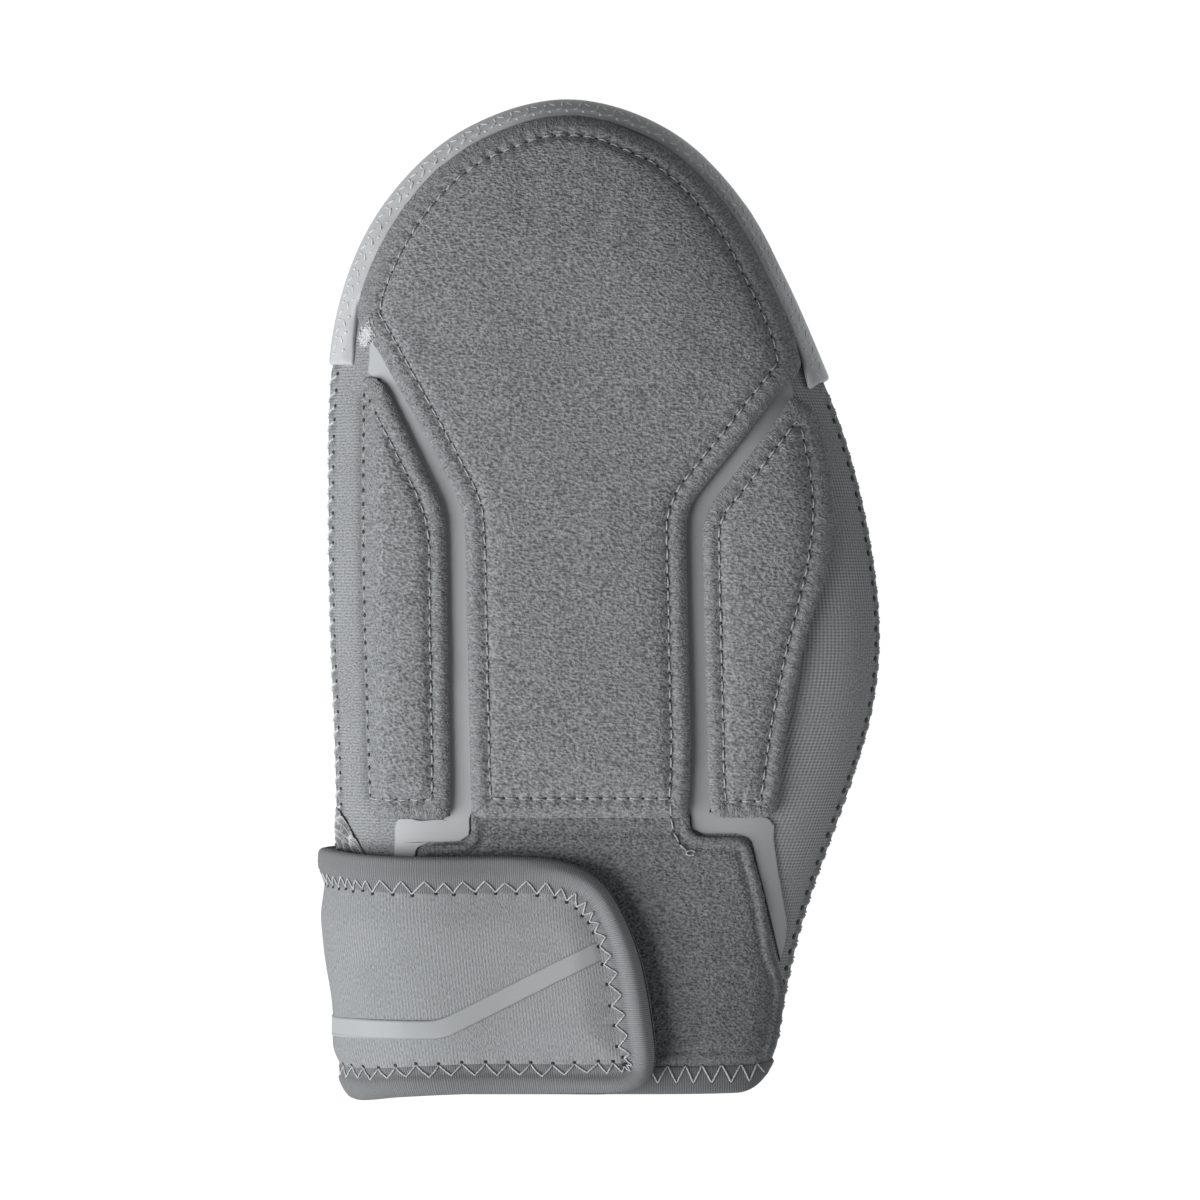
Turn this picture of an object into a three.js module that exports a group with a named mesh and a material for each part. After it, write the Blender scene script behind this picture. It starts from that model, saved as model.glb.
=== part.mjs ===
// Sliding mitt for the left hand, lying on its palm with the back of the hand up.
// Two neoprene panels are sewn round the sides into a pocket that is open at the wrist. A moulded guard
// caps the finger end, three foam pads and two bonded film strips lie on the back, and a wrist strap
// grows from the palm panel, folds round the left side and lies on a patch of loop cloth.
// Millimetres: x across the hand with the thumb side at +x, y towards the fingertips, z up.
import * as THREE from "three";
import { mergeVertices } from "three/addons/utils/BufferGeometryUtils.js";

const { clamp, degToRad, lerp, smoothstep } = THREE.MathUtils;

// Layers
const WALL = 2.5; // neoprene of the two body panels
const GAP = 0.35; // between layers that are sewn or bonded together
const BED = 0.55; // under a piece that is laid over the curve of the back
const BINDING = 0.9; // tape folded over a cut edge
const FILM = 0.5; // bonded film
const GUARD_WALL = 1.5;
const LAID_STEP = 9; // longest step of a piece that is laid over the body

// Body: the side seam is level, and both panels roll away from it as quarter ellipses
const SEAM_HEIGHT = 12;
const BACK_ROUND = 27; // width of the roll on the back
const PALM_ROUND = 15;
const MOUTH_Y = -123.5; // cut edge of the panels at the wrist
const SPINE_X = -8.4; // middle of the hand, under the tip of the finger arch
const SPINE_TOP = 44; // above this the panel's rows fan out round the finger arch
const HEM_BAND = 6;
const HEM_LIFT = GAP + BINDING; // the palm rises this much at the wrist, to make room for its hem
const HEM_RISE_LENGTH = 10;

// Side seam from above. The first row only carries the curve past the mouth.
const SEAM_STATIONS = [
  { y: -150, left: -58.6, right: 43.2 },
  { y: -126, left: -61.0, right: 44.4 },
  { y: -102, left: -63.7, right: 47.2 },
  { y: -76, left: -66.2, right: 53.4 },
  { y: -51, left: -66.8, right: 62.4 },
  { y: -30, left: -67.4, right: 69.2 },
  { y: -9, left: -68.4, right: 71.5 },
  { y: 18, left: -68.7, right: 68.2 },
  { y: 42, left: -68.4, right: 62.0 },
  { y: 58, left: -67.4, right: 55.5 },
];
const FINGER_ARCH = [
  { x: -62.8, y: 80.8 },
  { x: -52.4, y: 100.6 },
  { x: -34.2, y: 117.4 },
  { x: -8.4, y: 125.2 },
  { x: 16.6, y: 117.6 },
  { x: 34.4, y: 100.4 },
  { x: 45.7, y: 80.4 },
];

// How far the back stands above the seam along the middle of the hand
const BACK_PROFILE = [
  { y: -150, rise: 12.5 },
  { y: -110, rise: 13.5 },
  { y: -50, rise: 16.5 },
  { y: 10, rise: 18 },
  { y: 70, rise: 16.5 },
  { y: 128, rise: 13.5 },
];

// Moulded guard: where it ends on each side, how far its lip reaches in over the back, and how much the
// lip widens at the two ends
const GUARD_LEFT_END = 60.3;
const GUARD_RIGHT_END = 55;
const GUARD_LIP = { left: 3.6, tip: 2.4, right: 2.5 };
const GUARD_FLARE = { left: 0.9, right: 1.3 };
const GUARD_FLARE_LENGTH = 9;
const GUARD_PALM_LIP = 6;
const GUARD_STEPS = 31;

// Foam pads, as outlines with a corner radius at each point
const PAD_THICKNESS = 5;
const SIDE_PAD_THICKNESS = 4.4;
const PAD_ROLL = 1.6;
const PAD_CLEAR_OF_GUARD = 0.4;
const CENTRE_PAD_LOWER_EDGE = [
  { x: 50.0, y: 58.4, round: 3 },
  { x: 22.4, y: 23.2, round: 6 },
  { x: 24.2, y: -54.8, round: 2 },
  { x: -32.4, y: -54.8, round: 2 },
  { x: -34.0, y: 23.0, round: 6 },
  { x: -60.6, y: 71.4, round: 1 },
];
const OUTER_SIDE_PAD = [
  { x: -60.2, y: 57.0, round: 2 },
  { x: -54.6, y: 55.6, round: 3 },
  { x: -38.5, y: 22.2, round: 6 },
  { x: -37.2, y: -55.2, round: 3 },
  { x: -58.4, y: -55.2, round: 3 },
  { x: -60.4, y: 10.0, round: 30 },
];
const THUMB_SIDE_PAD = [
  { x: 48.6, y: 50.8, round: 2 },
  { x: 54.0, y: 47.4, round: 4 },
  { x: 59.8, y: 20.0, round: 24 },
  { x: 47.6, y: -25.0, round: 24 },
  { x: 44.4, y: -54.8, round: 3 },
  { x: 28.2, y: -54.8, round: 3 },
  { x: 26.4, y: 21.8, round: 6 },
];

// Loop cloth on the wrist, and the film strips that fill the channels between the pads
const LOOP_PATCH_THICKNESS = 1.4;
const LOOP_PATCH = [
  { x: 24.2, y: -55.4, round: 0 },
  { x: 24.6, y: -60.6, round: 3 },
  { x: 37.6, y: -61.0, round: 4 },
  { x: 44.4, y: -84.0, round: 20 },
  { x: 42.8, y: -117.2, round: 2 },
  { x: -47.6, y: -117.2, round: 2 },
  { x: -46.2, y: -61.6, round: 4 },
  { x: -32.4, y: -61.2, round: 3 },
  { x: -32.4, y: -55.4, round: 0 },
];
const FILM_LEFT = [
  { x: -57.4, y: 64.6, round: 0 },
  { x: -34.5, y: 22.8, round: 6 },
  { x: -32.8, y: -60.7, round: 3 },
  { x: -46.6, y: -61.1, round: 4 },
  { x: -48.0, y: -76.0, round: 0 },
  { x: -53.0, y: -76.2, round: 0 },
  { x: -51.4, y: -56.2, round: 3 },
  { x: -36.8, y: -55.8, round: 3 },
  { x: -38.0, y: 22.4, round: 6 },
  { x: -54.2, y: 56.2, round: 3 },
  { x: -58.8, y: 57.6, round: 0 },
];
const FILM_RIGHT = [
  { x: 48.8, y: 56.2, round: 0 },
  { x: 50.0, y: 51.2, round: 0 },
  { x: 48.2, y: 51.4, round: 2 },
  { x: 25.9, y: 22.0, round: 6 },
  { x: 27.8, y: -55.2, round: 3 },
  { x: 42.4, y: -55.6, round: 4 },
  { x: 48.0, y: -84.0, round: 6 },
  { x: 45.8, y: -91.6, round: 0 },
  { x: 38.3, y: -60.5, round: 4 },
  { x: 25.0, y: -60.1, round: 3 },
  { x: 22.9, y: 23.2, round: 6 },
];

// Wrist strap, cut flat: w runs from the side seam round over the back, and below zero under the palm
const STRAP_THICKNESS = 2.2;
const STRAP_TAIL = -18;
const STRAP_BAND = 9;
const STRAP_INNER_BAND = 7;
const STRAP_OUTLINE = [
  { x: STRAP_TAIL, y: -63.4, round: 0 },
  { x: 8, y: -63.6, round: 8 },
  { x: 30, y: -65.2, round: 12 },
  { x: 90.5, y: -64.6, round: 24 },
  { x: 92.6, y: -125.2, round: 13 },
  { x: 40, y: -125.0, round: 12 },
  { x: 14, y: -127.3, round: 12 },
  { x: STRAP_TAIL, y: -124.0, round: 0 },
];
// How high the strap's inner face stands off the body, and how far it sinks in under the palm
const STRAP_LIE = [
  { w: -24, lift: -3.5 },
  { w: -16, lift: -3.3 },
  { w: 0, lift: 1.3 },
  { w: 16, lift: 2.0 },
  { w: 30, lift: 3.3 },
  { w: 42, lift: 3.5 },
  { w: 95, lift: 3.6 },
];
const STRIPE_OUTLINE = [
  { x: -6, y: -106.4, round: 0 },
  { x: 38.3, y: -106.7, round: 3 },
  { x: 77.4, y: -87.8, round: 0 },
  { x: 80.2, y: -91.6, round: 0 },
  { x: 39.3, y: -111.4, round: 3 },
  { x: -6, y: -111.4, round: 0 },
];
const SLIT_TOP = -61.6; // the left side seam stops here, above the strap
const SLIT_WIDTH = 10.4; // the palm panel is cut back this far for the strap's tail

// Finishes
const FINISH = {
  knit: { color: 0x8b8f92, roughness: 0.85, metalness: 0 },
  binding: { color: 0x74787b, roughness: 0.85, metalness: 0 },
  loop: { color: 0x777b7e, roughness: 0.95, metalness: 0 },
  film: { color: 0x989c9e, roughness: 0.5, metalness: 0 },
  rubber: { color: 0x94989a, roughness: 0.55, metalness: 0 },
};

// Value of one column at a place along a table's first column, on a smooth curve through its rows
function tableValue(rows, place, column, at) {
  const last = rows.length - 1;
  const found = rows.findIndex((row) => row[place] >= at);
  const i = clamp(found < 0 ? last : found, 1, last);
  const slope = (a, b) => (rows[b][column] - rows[a][column]) / (rows[b][place] - rows[a][place]);
  const span = rows[i][place] - rows[i - 1][place];
  const t = clamp((at - rows[i - 1][place]) / span, 0, 1);
  const startSlope = slope(Math.max(i - 2, 0), i) * span;
  const endSlope = slope(i - 1, Math.min(i + 1, last)) * span;
  const a = rows[i - 1][column];
  const b = rows[i][column];
  return (
    a * (1 + 2 * t) * (1 - t) ** 2 +
    startSlope * t * (1 - t) ** 2 +
    b * t ** 2 * (3 - 2 * t) +
    endSlope * t ** 2 * (t - 1)
  );
}

// The side seam as a fine polyline, up the left side, round the fingers and down the thumb side
function seamLine() {
  const points = [
    ...SEAM_STATIONS.map((row) => new THREE.Vector3(row.left, row.y, 0)),
    ...FINGER_ARCH.map((row) => new THREE.Vector3(row.x, row.y, 0)),
    ...SEAM_STATIONS.toReversed().map((row) => new THREE.Vector3(row.right, row.y, 0)),
  ];
  const segments = 600;
  return new THREE.CatmullRomCurve3(points, false, "centripetal").getSpacedPoints(segments);
}

const SEAM = seamLine();
const TIP = SEAM.reduce((best, p, i) => (p.y > SEAM[best].y ? i : best), 0);

// x of the seam at a station, on the left or the right side
function seamX(side, y) {
  const half = side === "left" ? SEAM.slice(0, TIP + 1) : SEAM.slice(TIP).reverse();
  const i = clamp(half.findIndex((p) => p.y >= y), 1, half.length - 1);
  return lerp(half[i - 1].x, half[i].x, (y - half[i - 1].y) / (half[i].y - half[i - 1].y));
}

// Distance from a point to a line, and the direction out across its nearest stretch
function nearestOn(line, x, y) {
  let best = { distance: Infinity };
  for (let i = 0; i + 1 < line.length; i++) {
    const a = line[i];
    const along = { x: line[i + 1].x - a.x, y: line[i + 1].y - a.y };
    const length = Math.hypot(along.x, along.y);
    const t = clamp(((x - a.x) * along.x + (y - a.y) * along.y) / length ** 2, 0, 1);
    const distance = Math.hypot(x - a.x - t * along.x, y - a.y - t * along.y);
    if (distance < best.distance) {
      best = { distance, out: { x: -along.y / length, y: along.x / length } };
    }
  }
  return best;
}

// Point and outward normal of a panel's outer surface, above or below a place in plan
function skin(face, x, y) {
  const { distance, out } = nearestOn(SEAM, x, y);
  const isBack = face === "back";
  const hemRise = HEM_LIFT * clamp((MOUTH_Y + HEM_BAND + HEM_RISE_LENGTH - y) / HEM_RISE_LENGTH, 0, 1);
  const rise = isBack ? tableValue(BACK_PROFILE, "y", "rise", y) : hemRise + GAP / 2 - SEAM_HEIGHT;
  const round = isBack ? BACK_ROUND : PALM_ROUND;
  const cosine = Math.max(0, 1 - distance / round);
  const sine = Math.sqrt(1 - cosine ** 2);
  const seamZ = SEAM_HEIGHT + (isBack ? GAP / 2 : -GAP / 2);
  return {
    point: new THREE.Vector3(x, y, seamZ + rise * sine),
    normal: new THREE.Vector3((out.x * cosine) / round, (out.y * cosine) / round, sine / rise).normalize(),
  };
}

function offsetSkin(face, x, y, offset) {
  const { point, normal } = skin(face, x, y);
  return point.addScaledVector(normal, offset);
}

const backHeight = (x, y) => skin("back", x, y).point.z;

// Point straight above a place on the back, far enough up to stand at an offset from the surface
function aboveSkin(x, y, offset) {
  const { point, normal } = skin("back", x, y);
  return point.setZ(point.z + offset / normal.z);
}

// Closed solid from triangles: shared corners merged, empty triangles dropped, faces turned out
function closedGeometry(corners) {
  const loose = new THREE.BufferGeometry().setFromPoints(corners);
  const merged = mergeVertices(loose, 1e-4);
  const position = merged.attributes.position;
  const at = (i) => new THREE.Vector3().fromBufferAttribute(position, i);
  const faces = [];
  let volume = 0;
  for (let i = 0; i < merged.index.count; i += 3) {
    const [a, b, c] = [0, 1, 2].map((j) => merged.index.getX(i + j));
    if (a === b || b === c || c === a) continue;
    faces.push([a, b, c]);
    volume += at(a).dot(at(b).cross(at(c)));
  }
  merged.setIndex(faces.flatMap(([a, b, c]) => (volume < 0 ? [a, c, b] : [a, b, c])));
  merged.computeVertexNormals();
  return merged;
}

// Wall between two grids of points with the same rows and columns. The last column gets no rim where
// the rows meet there.
function wallGeometry(outer, inner, rowsMeet = false) {
  const corners = [];
  const quad = (a, b, c, d) => corners.push(a, b, c, a, c, d);
  const lastRow = outer.length - 1;
  const lastColumn = outer[0].length - 1;
  for (let i = 0; i < lastRow; i++) {
    for (let j = 0; j < lastColumn; j++) {
      quad(outer[i][j], outer[i + 1][j], outer[i + 1][j + 1], outer[i][j + 1]);
      quad(inner[i][j], inner[i][j + 1], inner[i + 1][j + 1], inner[i + 1][j]);
    }
    quad(outer[i][0], inner[i][0], inner[i + 1][0], outer[i + 1][0]);
    if (!rowsMeet) {
      quad(outer[i][lastColumn], outer[i + 1][lastColumn], inner[i + 1][lastColumn], inner[i][lastColumn]);
    }
  }
  for (let j = 0; j < lastColumn; j++) {
    quad(outer[0][j], outer[0][j + 1], inner[0][j + 1], inner[0][j]);
    quad(outer[lastRow][j], inner[lastRow][j], inner[lastRow][j + 1], outer[lastRow][j + 1]);
  }
  return closedGeometry(corners);
}

// Flat shape from corner points, each rounded over its own radius
function roundedShape(corners) {
  const shape = new THREE.Shape();
  corners.forEach((corner, i) => {
    const here = new THREE.Vector2(corner.x, corner.y);
    const towards = (other) => {
      const arm = new THREE.Vector2(other.x, other.y).sub(here);
      return here.clone().add(arm.setLength(Math.min(corner.round, arm.length() / 2)));
    };
    const start = towards(corners.at(i - 1));
    const end = towards(corners[(i + 1) % corners.length]);
    if (i === 0) shape.moveTo(start.x, start.y);
    else shape.lineTo(start.x, start.y);
    if (corner.round > 0) shape.quadraticCurveTo(here.x, here.y, end.x, end.y);
  });
  shape.closePath();
  return shape;
}

// Where a line across an outline enters and leaves it
function sliceOutline(outline, along, across, at) {
  const crossings = [];
  outline.slice(1).forEach((end, i) => {
    const [low, high] = [outline[i], end].sort((a, b) => a[along] - b[along]);
    if (at < low[along] || at > high[along]) return;
    const span = high[along] - low[along];
    crossings.push(span > 0 ? lerp(low[across], high[across], (at - low[along]) / span) : low[across]);
    if (span === 0) crossings.push(high[across]);
  });
  return { low: Math.min(...crossings), high: Math.max(...crossings) };
}

// Places along a piece: its ends, its corners and enough between them that no step is too long
function stations(ends, marks, step) {
  const closest = 0.35;
  const places = [ends.low];
  const next = () => places.at(-1) + step(places.at(-1));
  for (const mark of [...marks.toSorted((a, b) => a - b), ends.high]) {
    while (next() < mark - closest) places.push(next());
    if (mark === ends.high || mark - places.at(-1) >= closest) places.push(mark);
  }
  return places;
}

// Flat piece with a rolled upper edge, cut into rows across one of its axes and laid over a surface
function laidPiece(corners, { along = "y", extra = [], thickness, roll = 0, step, place }) {
  const across = along === "y" ? "x" : "y";
  const curveSegments = 4;
  const points = roundedShape([...corners, ...extra]).getPoints(curveSegments);
  const outline = [...points, points[0]];
  const places = outline.map((p) => p[along]);
  const ends = { low: Math.min(...places), high: Math.max(...places) };
  const rollMarks = roll > 0 ? [0.3 * roll, roll] : []; // steep and level ends of the rolled edge
  const marks = [
    ...corners.flatMap((c) => [c[along] - c.round / 2, c[along], c[along] + c.round / 2]),
    ...rollMarks.flatMap((mark) => [ends.low + mark, ends.high - mark]),
  ].filter((mark) => mark > ends.low && mark < ends.high);
  const rows = stations(ends, marks, step).map((at) => {
    return { at, ...sliceOutline(outline, along, across, at) };
  });
  const widest = Math.max(...rows.map((row) => row.high - row.low));
  const middleSteps = Math.max(1, Math.ceil((widest - 2 * roll) / LAID_STEP));
  const eased = (k) => (1 - Math.cos((Math.PI * k) / middleSteps)) / 2;
  const grid = rows.map(({ at, low, high }) => {
    const shrink = Math.min(1, (high - low) / (4 * roll || 1));
    const margins = rollMarks.map((mark) => mark * shrink);
    const [from, to] = [low + roll * shrink, high - roll * shrink];
    const middle = Array.from({ length: middleSteps - 1 }, (_, k) => lerp(from, to, eased(k + 1)));
    const inside = [...margins.map((m) => low + m), ...middle, ...margins.map((m) => high - m).reverse()];
    return [low, ...inside, high].map((side) => (along === "y" ? { x: side, y: at } : { x: at, y: side }));
  });
  const topHeight = ({ x, y }) => {
    if (roll === 0) return thickness;
    const short = 1 - Math.min(1, nearestOn(outline, x, y).distance / roll);
    return thickness - roll + roll * Math.sqrt(1 - short ** 2);
  };
  const surface = (height) => grid.map((row) => row.map((p) => place(p.x, p.y, height(p))));
  return wallGeometry(surface(topHeight), surface(() => 0));
}

// Places a flat piece on the back, kept a little clear of it
const onBack = (x, y, z) => new THREE.Vector3(x, y, backHeight(x, y) + BED + z);

// Steps along a piece on the back are shorter where the finger end rolls down
const backStep = (y) => (y > SPINE_TOP + BACK_ROUND ? LAID_STEP * 0.6 : LAID_STEP);

// Rows of one panel from the side seam to the middle of the hand, as places in plan
function panelRows(face) {
  const sideRows = 11;
  const archRows = 17;
  const rollSteps = 6;
  const isCutBack = (y) => face === "palm" && y < SLIT_TOP;
  const sideYs = Array.from({ length: sideRows + 1 }, (_, i) => lerp(MOUTH_Y, SPINE_TOP, i / sideRows));
  if (face === "palm") {
    const hemTop = MOUTH_Y + HEM_BAND;
    sideYs.push(SLIT_TOP, SLIT_TOP - GAP, hemTop, hemTop + HEM_RISE_LENGTH);
    sideYs.sort((a, b) => a - b);
  }
  const leftEdge = (y) => seamX("left", y) + (isCutBack(y) ? SLIT_WIDTH : 0);
  const arch = SEAM.filter((p) => p.y > SPINE_TOP);
  const archPoints = Array.from(
    { length: archRows - 1 },
    (_, i) => arch[Math.round(((i + 1) / archRows) * (arch.length - 1))],
  );
  const edges = [
    ...sideYs.map((y) => ({ x: leftEdge(y), y })),
    ...archPoints,
    ...sideYs.toReversed().map((y) => ({ x: seamX("right", y), y })),
  ];
  const round = face === "back" ? BACK_ROUND : PALM_ROUND;
  return edges.map((edge) => {
    const middle = new THREE.Vector2(SPINE_X, Math.min(edge.y, SPINE_TOP));
    const inward = middle.clone().sub(new THREE.Vector2(edge.x, edge.y));
    const reach = inward.length();
    const steps = [];
    for (let k = 0; k <= rollSteps; k++) {
      steps.push(round * (1 - Math.cos(degToRad((90 * k) / rollSteps))));
    }
    steps.push(reach);
    return steps.map((step) => new THREE.Vector2(edge.x, edge.y).addScaledVector(inward, step / reach));
  });
}

function bodyPanel(face) {
  const rows = panelRows(face);
  const surface = (offset) => rows.map((row) => row.map((p) => offsetSkin(face, p.x, p.y, offset)));
  return wallGeometry(surface(0), surface(-WALL), true);
}

// How far the guard's lip reaches in over the back, eased from one end round the tip to the other
function guardLip(index) {
  const ends = guardEnds();
  const side = index < TIP ? "left" : "right";
  const end = side === "left" ? ends.first : ends.last;
  const share = smoothstep((index - TIP) / (end - TIP), 0.2, 0.7);
  const widening = 1 - smoothstep(SEAM[index].distanceTo(SEAM[end]), 0, GUARD_FLARE_LENGTH);
  return lerp(GUARD_LIP.tip, GUARD_LIP[side], share) + GUARD_FLARE[side] * widening;
}

// Seam points where the guard starts and stops
function guardEnds() {
  return {
    first: SEAM.findIndex((p) => p.y >= GUARD_LEFT_END),
    last: SEAM.findLastIndex((p) => p.y >= GUARD_RIGHT_END),
  };
}

// Inward normal of the seam at one of its points
function seamInward(index) {
  const along = SEAM[index + 1].clone().sub(SEAM[index - 1]).normalize();
  return new THREE.Vector2(along.y, -along.x);
}

// Channel of moulded rubber that follows the seam round the finger end, over the edge of both panels
function fingerGuard() {
  const ends = guardEnds();
  const outer = [];
  const inner = [];
  for (let k = 0; k <= GUARD_STEPS; k++) {
    const index = Math.round(lerp(ends.first, ends.last, k / GUARD_STEPS));
    const inward = seamInward(index);
    const lip = guardLip(index);
    const section = [
      { face: "back", depth: lip },
      { face: "back", depth: lip * 0.55 },
      { face: "back", depth: lip * 0.2 },
      { face: "back", depth: 0 },
      { face: "palm", depth: 0 },
      { face: "palm", depth: GUARD_PALM_LIP * 0.15 },
      { face: "palm", depth: GUARD_PALM_LIP * 0.5 },
      { face: "palm", depth: GUARD_PALM_LIP },
    ];
    const ring = (offset) =>
      section.map(({ face, depth }) => {
        const x = SEAM[index].x + inward.x * depth;
        const y = SEAM[index].y + inward.y * depth;
        return face === "back" && depth === lip ? aboveSkin(x, y, offset) : offsetSkin(face, x, y, offset);
      });
    outer.push(ring(GAP + GUARD_WALL));
    inner.push(ring(GAP));
  }
  return wallGeometry(outer, inner);
}

// The centre pad follows the guard's lip round the finger end and narrows to a waist below it
function centrePad() {
  const ends = guardEnds();
  const [rightCorner, , , , , leftCorner] = CENTRE_PAD_LOWER_EDGE;
  const archStep = 4;
  const arch = [];
  for (let index = ends.first; index <= ends.last; index += archStep) {
    const inward = seamInward(index);
    const depth = guardLip(index) + PAD_CLEAR_OF_GUARD;
    const x = SEAM[index].x + inward.x * depth;
    const y = SEAM[index].y + inward.y * depth;
    const corner = x < SPINE_X ? leftCorner : rightCorner;
    if (y > corner.y + archStep) arch.push({ x, y, round: 0 });
  }
  return laidPiece(CENTRE_PAD_LOWER_EDGE, {
    extra: arch,
    thickness: PAD_THICKNESS,
    roll: PAD_ROLL,
    step: backStep,
    place: onBack,
  });
}

const loopPatch = () =>
  laidPiece(LOOP_PATCH, { thickness: LOOP_PATCH_THICKNESS, step: backStep, place: onBack });

const sidePad = (corners) =>
  laidPiece(corners, { thickness: SIDE_PAD_THICKNESS, roll: PAD_ROLL, step: backStep, place: onBack });

const film = (corners) => laidPiece(corners, { thickness: FILM, step: backStep, place: onBack });

// Tape folded over a panel's cut edge at the wrist, between two places across the panel
function hem(face, from, to) {
  const steps = 13;
  const outer = [];
  const inner = [];
  const foldY = MOUTH_Y - GAP;
  for (let k = 0; k <= steps; k++) {
    const share = (1 - Math.cos((Math.PI * k) / steps)) / 2;
    const at = (y, offset) => {
      const x = lerp(from(y), to(y), share);
      return offsetSkin(face, x, y, offset);
    };
    const bandY = MOUTH_Y + HEM_BAND;
    const over = GAP + BINDING;
    outer.push([
      at(bandY, over),
      at(foldY, over),
      at(foldY - BINDING, GAP - BINDING),
      at(foldY - BINDING, BINDING - WALL - GAP),
      at(foldY, -WALL - over),
      at(bandY, -WALL - over),
    ]);
    inner.push([
      at(bandY, GAP),
      at(foldY + GAP / 2, GAP),
      at(foldY, GAP / 2),
      at(foldY, -WALL - GAP / 2),
      at(foldY + GAP / 2, -WALL - GAP),
      at(bandY, -WALL - GAP),
    ]);
  }
  return wallGeometry(outer, inner);
}

// Places a point of the flat strap on the wrist: w round it from the side seam, and a height above the
// strap's inner face
function onWrist(w, y, height) {
  const face = w >= 0 ? "back" : "palm";
  const round = face === "back" ? BACK_ROUND : PALM_ROUND;
  const turn = Math.abs(w) / round;
  const rolled = Math.PI / 2;
  const inset = turn < rolled ? round * (1 - Math.cos(turn)) : round * (1 + turn - rolled);
  return offsetSkin(face, seamX("left", y) + inset, y, tableValue(STRAP_LIE, "w", "lift", w) + height);
}

// Steps along the strap are shorter where it folds round the side of the hand
const strapStep = (w) => clamp(Math.abs(w) / 3, 2.8, 7.5);

// Outline of the flat strap from the tail's top corner round to its bottom corner, as points with the
// direction in towards the strap
function strapEdge() {
  const curveSegments = 40;
  const points = roundedShape(STRAP_OUTLINE).getPoints(curveSegments);
  const line = new THREE.Path(points).getSpacedPoints(900).filter((p) => p.x > STRAP_TAIL + 1e-3);
  const edge = [];
  let travelled = Infinity;
  line.forEach((point, i) => {
    const isLast = i === line.length - 1;
    const along = line[Math.min(i + 1, line.length - 1)].clone().sub(line[Math.max(i - 1, 0)]);
    if (travelled >= strapStep(point.x) || isLast) {
      along.normalize();
      edge.push({ point, inward: new THREE.Vector2(along.y, -along.x) });
      travelled = 0;
    }
    if (!isLast) travelled += point.distanceTo(line[i + 1]);
  });
  return edge;
}

// Neoprene of the strap, held inside its binding
function wristStrap() {
  const inset = GAP + BINDING;
  const corners = strapEdge().map(({ point, inward }) => ({
    x: point.x + inward.x * inset,
    y: point.y + inward.y * inset,
    round: 0,
  }));
  return laidPiece([], {
    along: "x",
    extra: corners,
    thickness: STRAP_THICKNESS,
    step: strapStep,
    place: onWrist,
  });
}

// Tape folded over the strap's edge, all the way round its free end
function strapBinding() {
  const top = STRAP_THICKNESS;
  const middle = top / 2;
  const over = GAP + BINDING;
  const bend = 1.4; // where the tape leaves the flat and starts round the edge
  const nose = 0.4;
  const outside = [
    { inset: STRAP_BAND, height: top + over },
    { inset: bend, height: top + over },
    { inset: nose, height: top + GAP },
    { inset: 0, height: middle },
    { inset: nose, height: -GAP },
    { inset: bend, height: -over },
    { inset: STRAP_INNER_BAND, height: -over },
  ];
  const inside = [
    { inset: STRAP_BAND, height: top + GAP },
    { inset: bend, height: top + GAP },
    { inset: over - GAP / 2, height: top + GAP },
    { inset: BINDING, height: middle },
    { inset: over - GAP / 2, height: -GAP },
    { inset: bend, height: -GAP },
    { inset: STRAP_INNER_BAND, height: -GAP },
  ];
  const edge = strapEdge();
  const grid = (profile) =>
    edge.map(({ point, inward }) =>
      profile.map(({ inset, height }) =>
        onWrist(point.x + inward.x * inset, point.y + inward.y * inset, height),
      ),
    );
  return wallGeometry(grid(outside), grid(inside));
}

// Film stripe bonded along the outside of the strap
function strapStripe() {
  const onStrap = (w, y, z) => onWrist(w, y, STRAP_THICKNESS + GAP + z);
  return laidPiece(STRIPE_OUTLINE, { along: "x", thickness: FILM, step: strapStep, place: onStrap });
}

function named(name, geometry, finish) {
  const mesh = new THREE.Mesh(geometry, new THREE.MeshStandardMaterial(FINISH[finish]));
  mesh.name = name;
  return mesh;
}

const seamLeft = (y) => seamX("left", y);
const seamRight = (y) => seamX("right", y);
const mitt = new THREE.Group();
mitt.add(
  named("back_panel", bodyPanel("back"), "knit"),
  named("palm_panel", bodyPanel("palm"), "knit"),
  named("finger_guard", fingerGuard(), "rubber"),
  named("centre_pad", centrePad(), "loop"),
  named("outer_side_pad", sidePad(OUTER_SIDE_PAD), "loop"),
  named("thumb_side_pad", sidePad(THUMB_SIDE_PAD), "loop"),
  named("wrist_loop_patch", loopPatch(), "loop"),
  named("film_strip_left", film(FILM_LEFT), "film"),
  named("film_strip_right", film(FILM_RIGHT), "film"),
  named("back_hem", hem("back", (y) => seamLeft(y) + BACK_ROUND, seamRight), "binding"),
  named("palm_hem", hem("palm", (y) => seamLeft(y) + SLIT_WIDTH + GAP, seamRight), "binding"),
  named("wrist_strap", wristStrap(), "knit"),
  named("strap_binding", strapBinding(), "binding"),
  named("strap_stripe", strapStripe(), "film"),
);

export default mitt;
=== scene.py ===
# %% [markdown]
# # A sliding mitt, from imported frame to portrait
# The mitt lies on its palm with the back of the hand up. Its body is two knit-faced neoprene panels, sewn
# round the sides. On the back lie three foam pads covered in loop cloth, two bonded film strips and a wrist
# patch. A moulded guard caps the fingers and a bound strap closes the wrist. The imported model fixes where
# every piece goes, so each dressed piece starts from its own solid and is then softened, sewn and finished.

import math
import random

import bmesh
import bpy
import numpy as np
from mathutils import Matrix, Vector, noise
from mathutils.bvhtree import BVHTree
from mathutils.kdtree import KDTree


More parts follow.
